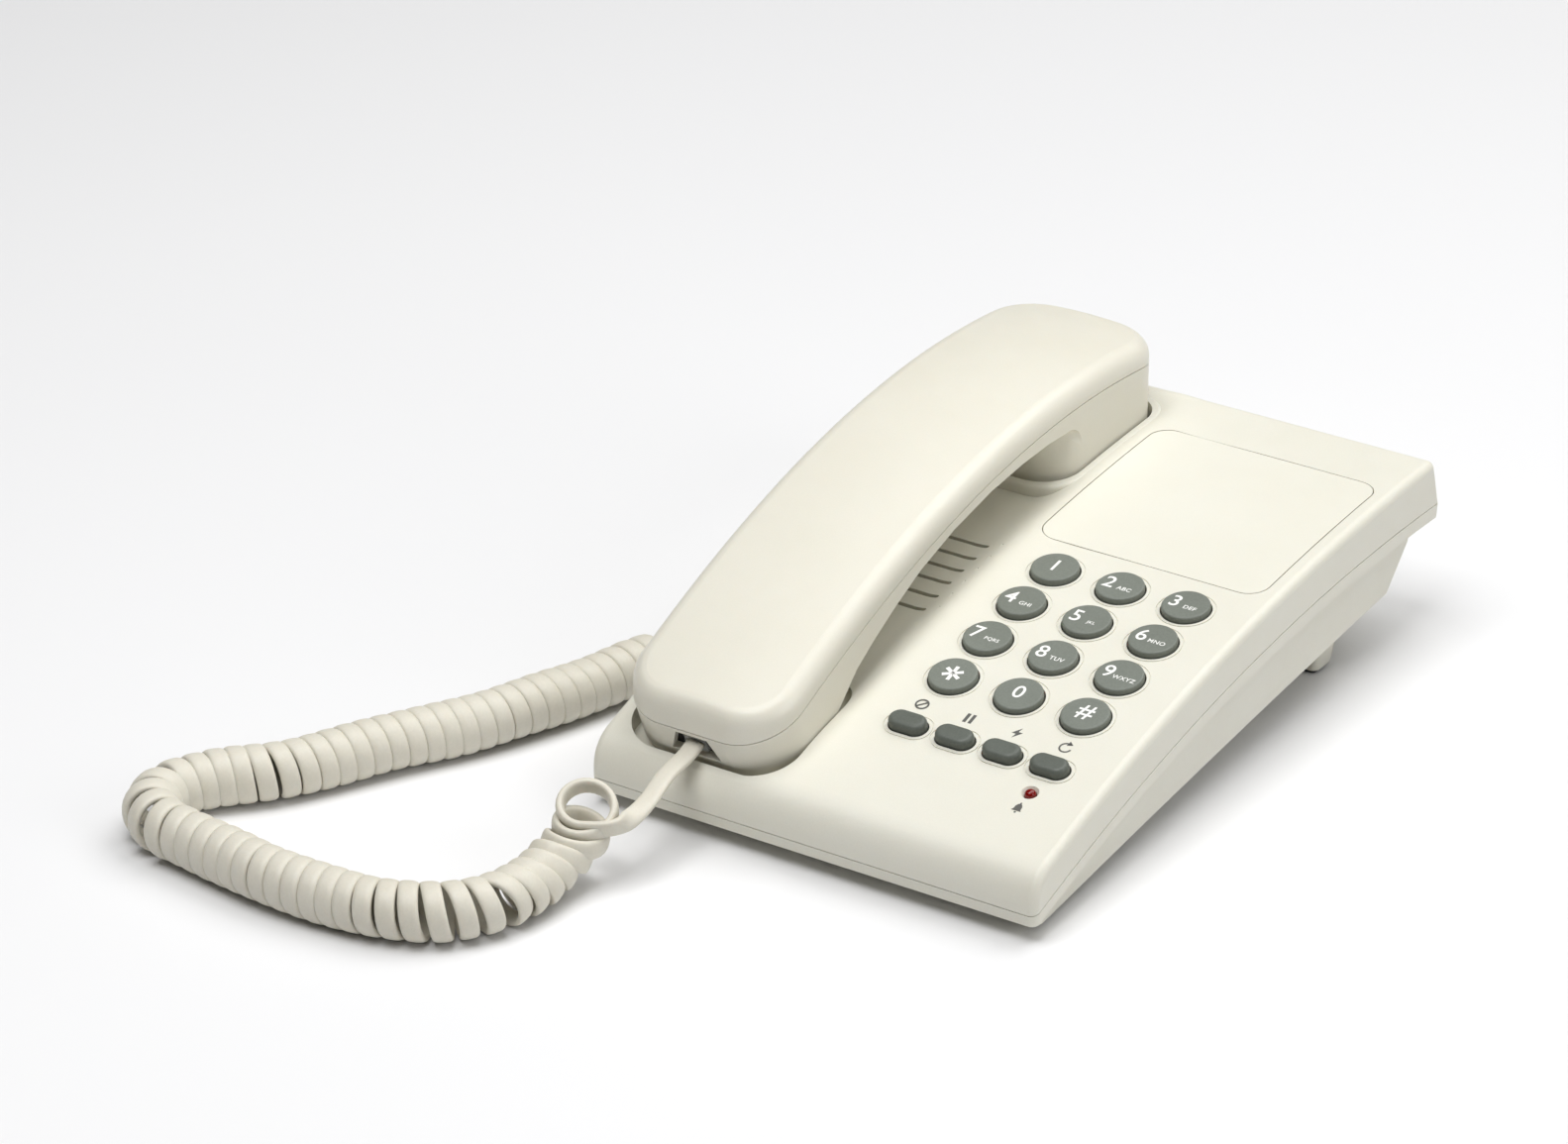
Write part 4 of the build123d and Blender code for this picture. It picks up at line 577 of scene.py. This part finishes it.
def ring(cx, cy, r, w, a0=0, a1=360, k=20):
    """Arc of constant width, as a run of small quads."""
    a = np.radians(np.linspace(a0, a1, k))
    p = [((cx + (r + w / 2) * math.cos(t), cy + (r + w / 2) * math.sin(t)), (cx + (r - w / 2) * math.cos(t), cy + (r - w / 2) * math.sin(t))) for t in a]
    return [[p[i][0], p[i + 1][0], p[i + 1][1], p[i][1]] for i in range(k - 1)]


def bar(x0, y0, x1, y1, w):
    d = np.array([x1 - x0, y1 - y0])
    d = d / np.linalg.norm(d)
    p = np.array([-d[1], d[0]]) * w / 2
    a, b = np.array([x0, y0]), np.array([x1, y1])
    return [tuple(a - p), tuple(b - p), tuple(b + p), tuple(a + p)]


def capsule(cx, cy, w, h, k=10):
    r = w / 2
    top = [(cx + r * math.cos(t), cy + h / 2 - r + r * math.sin(t)) for t in np.linspace(0, math.pi, k)]
    low = [(cx + r * math.cos(t), cy - h / 2 + r + r * math.sin(t)) for t in np.linspace(math.pi, 2 * math.pi, k)]
    return top + low


LW = 0.32
ICON_MUTE = ring(0, 0, 1.15, LW, 0, 360, 25) + [bar(-0.8, -0.8, 0.8, 0.8, LW)]
ICON_PAUSE = [bar(-0.55, -1.15, -0.55, 1.15, 0.62), bar(0.55, -1.15, 0.55, 1.15, 0.62)]
ICON_FLASH = [[(0.35, 1.4), (-0.95, -0.25), (-0.1, -0.25), (-0.35, -1.4), (0.95, 0.3), (0.1, 0.3)]]
ICON_REDIAL = ring(0, 0, 1.1, LW, 60, 350, 21) + [[(0.05, 1.75), (0.95, 1.0), (-0.1, 0.55)]]
ICON_BELL = [[(-0.95, -0.75), (-0.7, -0.35), (-0.65, 0.35), (-0.35, 0.85), (0, 1.0), (0.35, 0.85), (0.65, 0.35), (0.7, -0.35), (0.95, -0.75)], capsule(0, -1.08, 0.42, 0.44, 8), bar(0, 0.9, 0, 1.3, 0.3)]
for nm, icon, (x, y) in (("mute", ICON_MUTE, (6.2, 42.1)), ("pause", ICON_PAUSE, (19.9, 42.1)), ("flash", ICON_FLASH, (33.6, 42.1)), ("redial", ICON_REDIAL, (47.4, 42.1)), ("bell", ICON_BELL, (47.6, 19.6))):
    o = thicken("sign_" + nm, [shape_bm([[(a * 1.42, b * 1.42) for a, b in p]]) for p in icon], on_deck(x, y, lambda a, b: 0.0), INK_GREY, 0.04)
    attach(o, "base")

# ---------------------------------------------------------------- floor, light, camera
fm, fnt, fb = new_mat("floor_pale")
tc = node(fnt, "ShaderNodeTexCoord")
nz = node(fnt, "ShaderNodeTexNoise", Scale=1.2, Detail=3.0)
fnt.links.new(tc.outputs["Object"], nz.inputs["Vector"])
rp = node(fnt, "ShaderNodeValToRGB")
rp.color_ramp.elements[0].color = (0.79, 0.79, 0.80, 1)
rp.color_ramp.elements[1].color = (0.84, 0.84, 0.845, 1)
fnt.links.new(nz.outputs["Fac"], rp.inputs["Fac"])
fnt.links.new(rp.outputs["Color"], fb.inputs["Base Color"])
fb.inputs["Roughness"].default_value = 0.65
fb.inputs["Specular IOR Level"].default_value = 0.25
n = 24
fv = [(-4 + 8 * i / n, -3 + 9 * j / n, 0.0) for j in range(n + 1) for i in range(n + 1)]
ff = [(j * (n + 1) + i, j * (n + 1) + i + 1, (j + 1) * (n + 1) + i + 1, (j + 1) * (n + 1) + i) for j in range(n) for i in range(n)]
floor = mesh_object("floor", fv, ff, fm, False)


def area(name, loc, target, size, power, color=(1, 1, 1), size_y=None):
    l = bpy.data.lights.new(name, "AREA")
    l.energy = power
    l.color = color
    l.shape = "RECTANGLE"
    l.size = size
    l.size_y = size_y or size
    o = bpy.data.objects.new(name, l)
    bpy.context.scene.collection.objects.link(o)
    d = Vector(target) - Vector(loc)
    o.rotation_euler = d.to_track_quat("-Z", "Y").to_euler()
    o.location = loc
    return o


area("key_back", (0.26, 0.62, 1.34), (0, 0, 0), 1.2, 15.8, (1, 0.998, 0.99))
area("top", (-0.12, -0.5, 1.5), (0, 0, 0), 1.0, 18.0)
area("fill_right", (1.4, -0.1, 0.8), (0, 0, 0), 0.8, 5.0)

w = bpy.data.worlds.new("studio")
bpy.context.scene.world = w
w.use_nodes = True
w.node_tree.nodes["Background"].inputs[0].default_value = (0.97, 0.985, 1.0, 1)
w.node_tree.nodes["Background"].inputs[1].default_value = 0.025

cam = bpy.data.cameras.new("camera")
cam.sensor_fit = "HORIZONTAL"
cam.sensor_width = 36
cam.lens = 147.96
cam.clip_start, cam.clip_end = 0.05, 20
co = bpy.data.objects.new("camera", cam)
bpy.context.scene.collection.objects.link(co)
R = Vector((0.8377945, 0.54598569, 0.0))
U = Vector((-0.248663, 0.38156401, 0.89026716))
D = Vector((0.48607313, -0.74586093, 0.45543867))
co.matrix_world = Matrix(((R.x, U.x, D.x, 0.742978), (R.y, U.y, D.y, -1.25288), (R.z, U.z, D.z, 0.783914), (0, 0, 0, 1)))
bpy.context.scene.camera = co
vs = bpy.context.scene.view_settings
vs.view_transform = "Standard"
vs.look = "None"
vs.exposure = 0.0

bpy.context.view_layer.update()
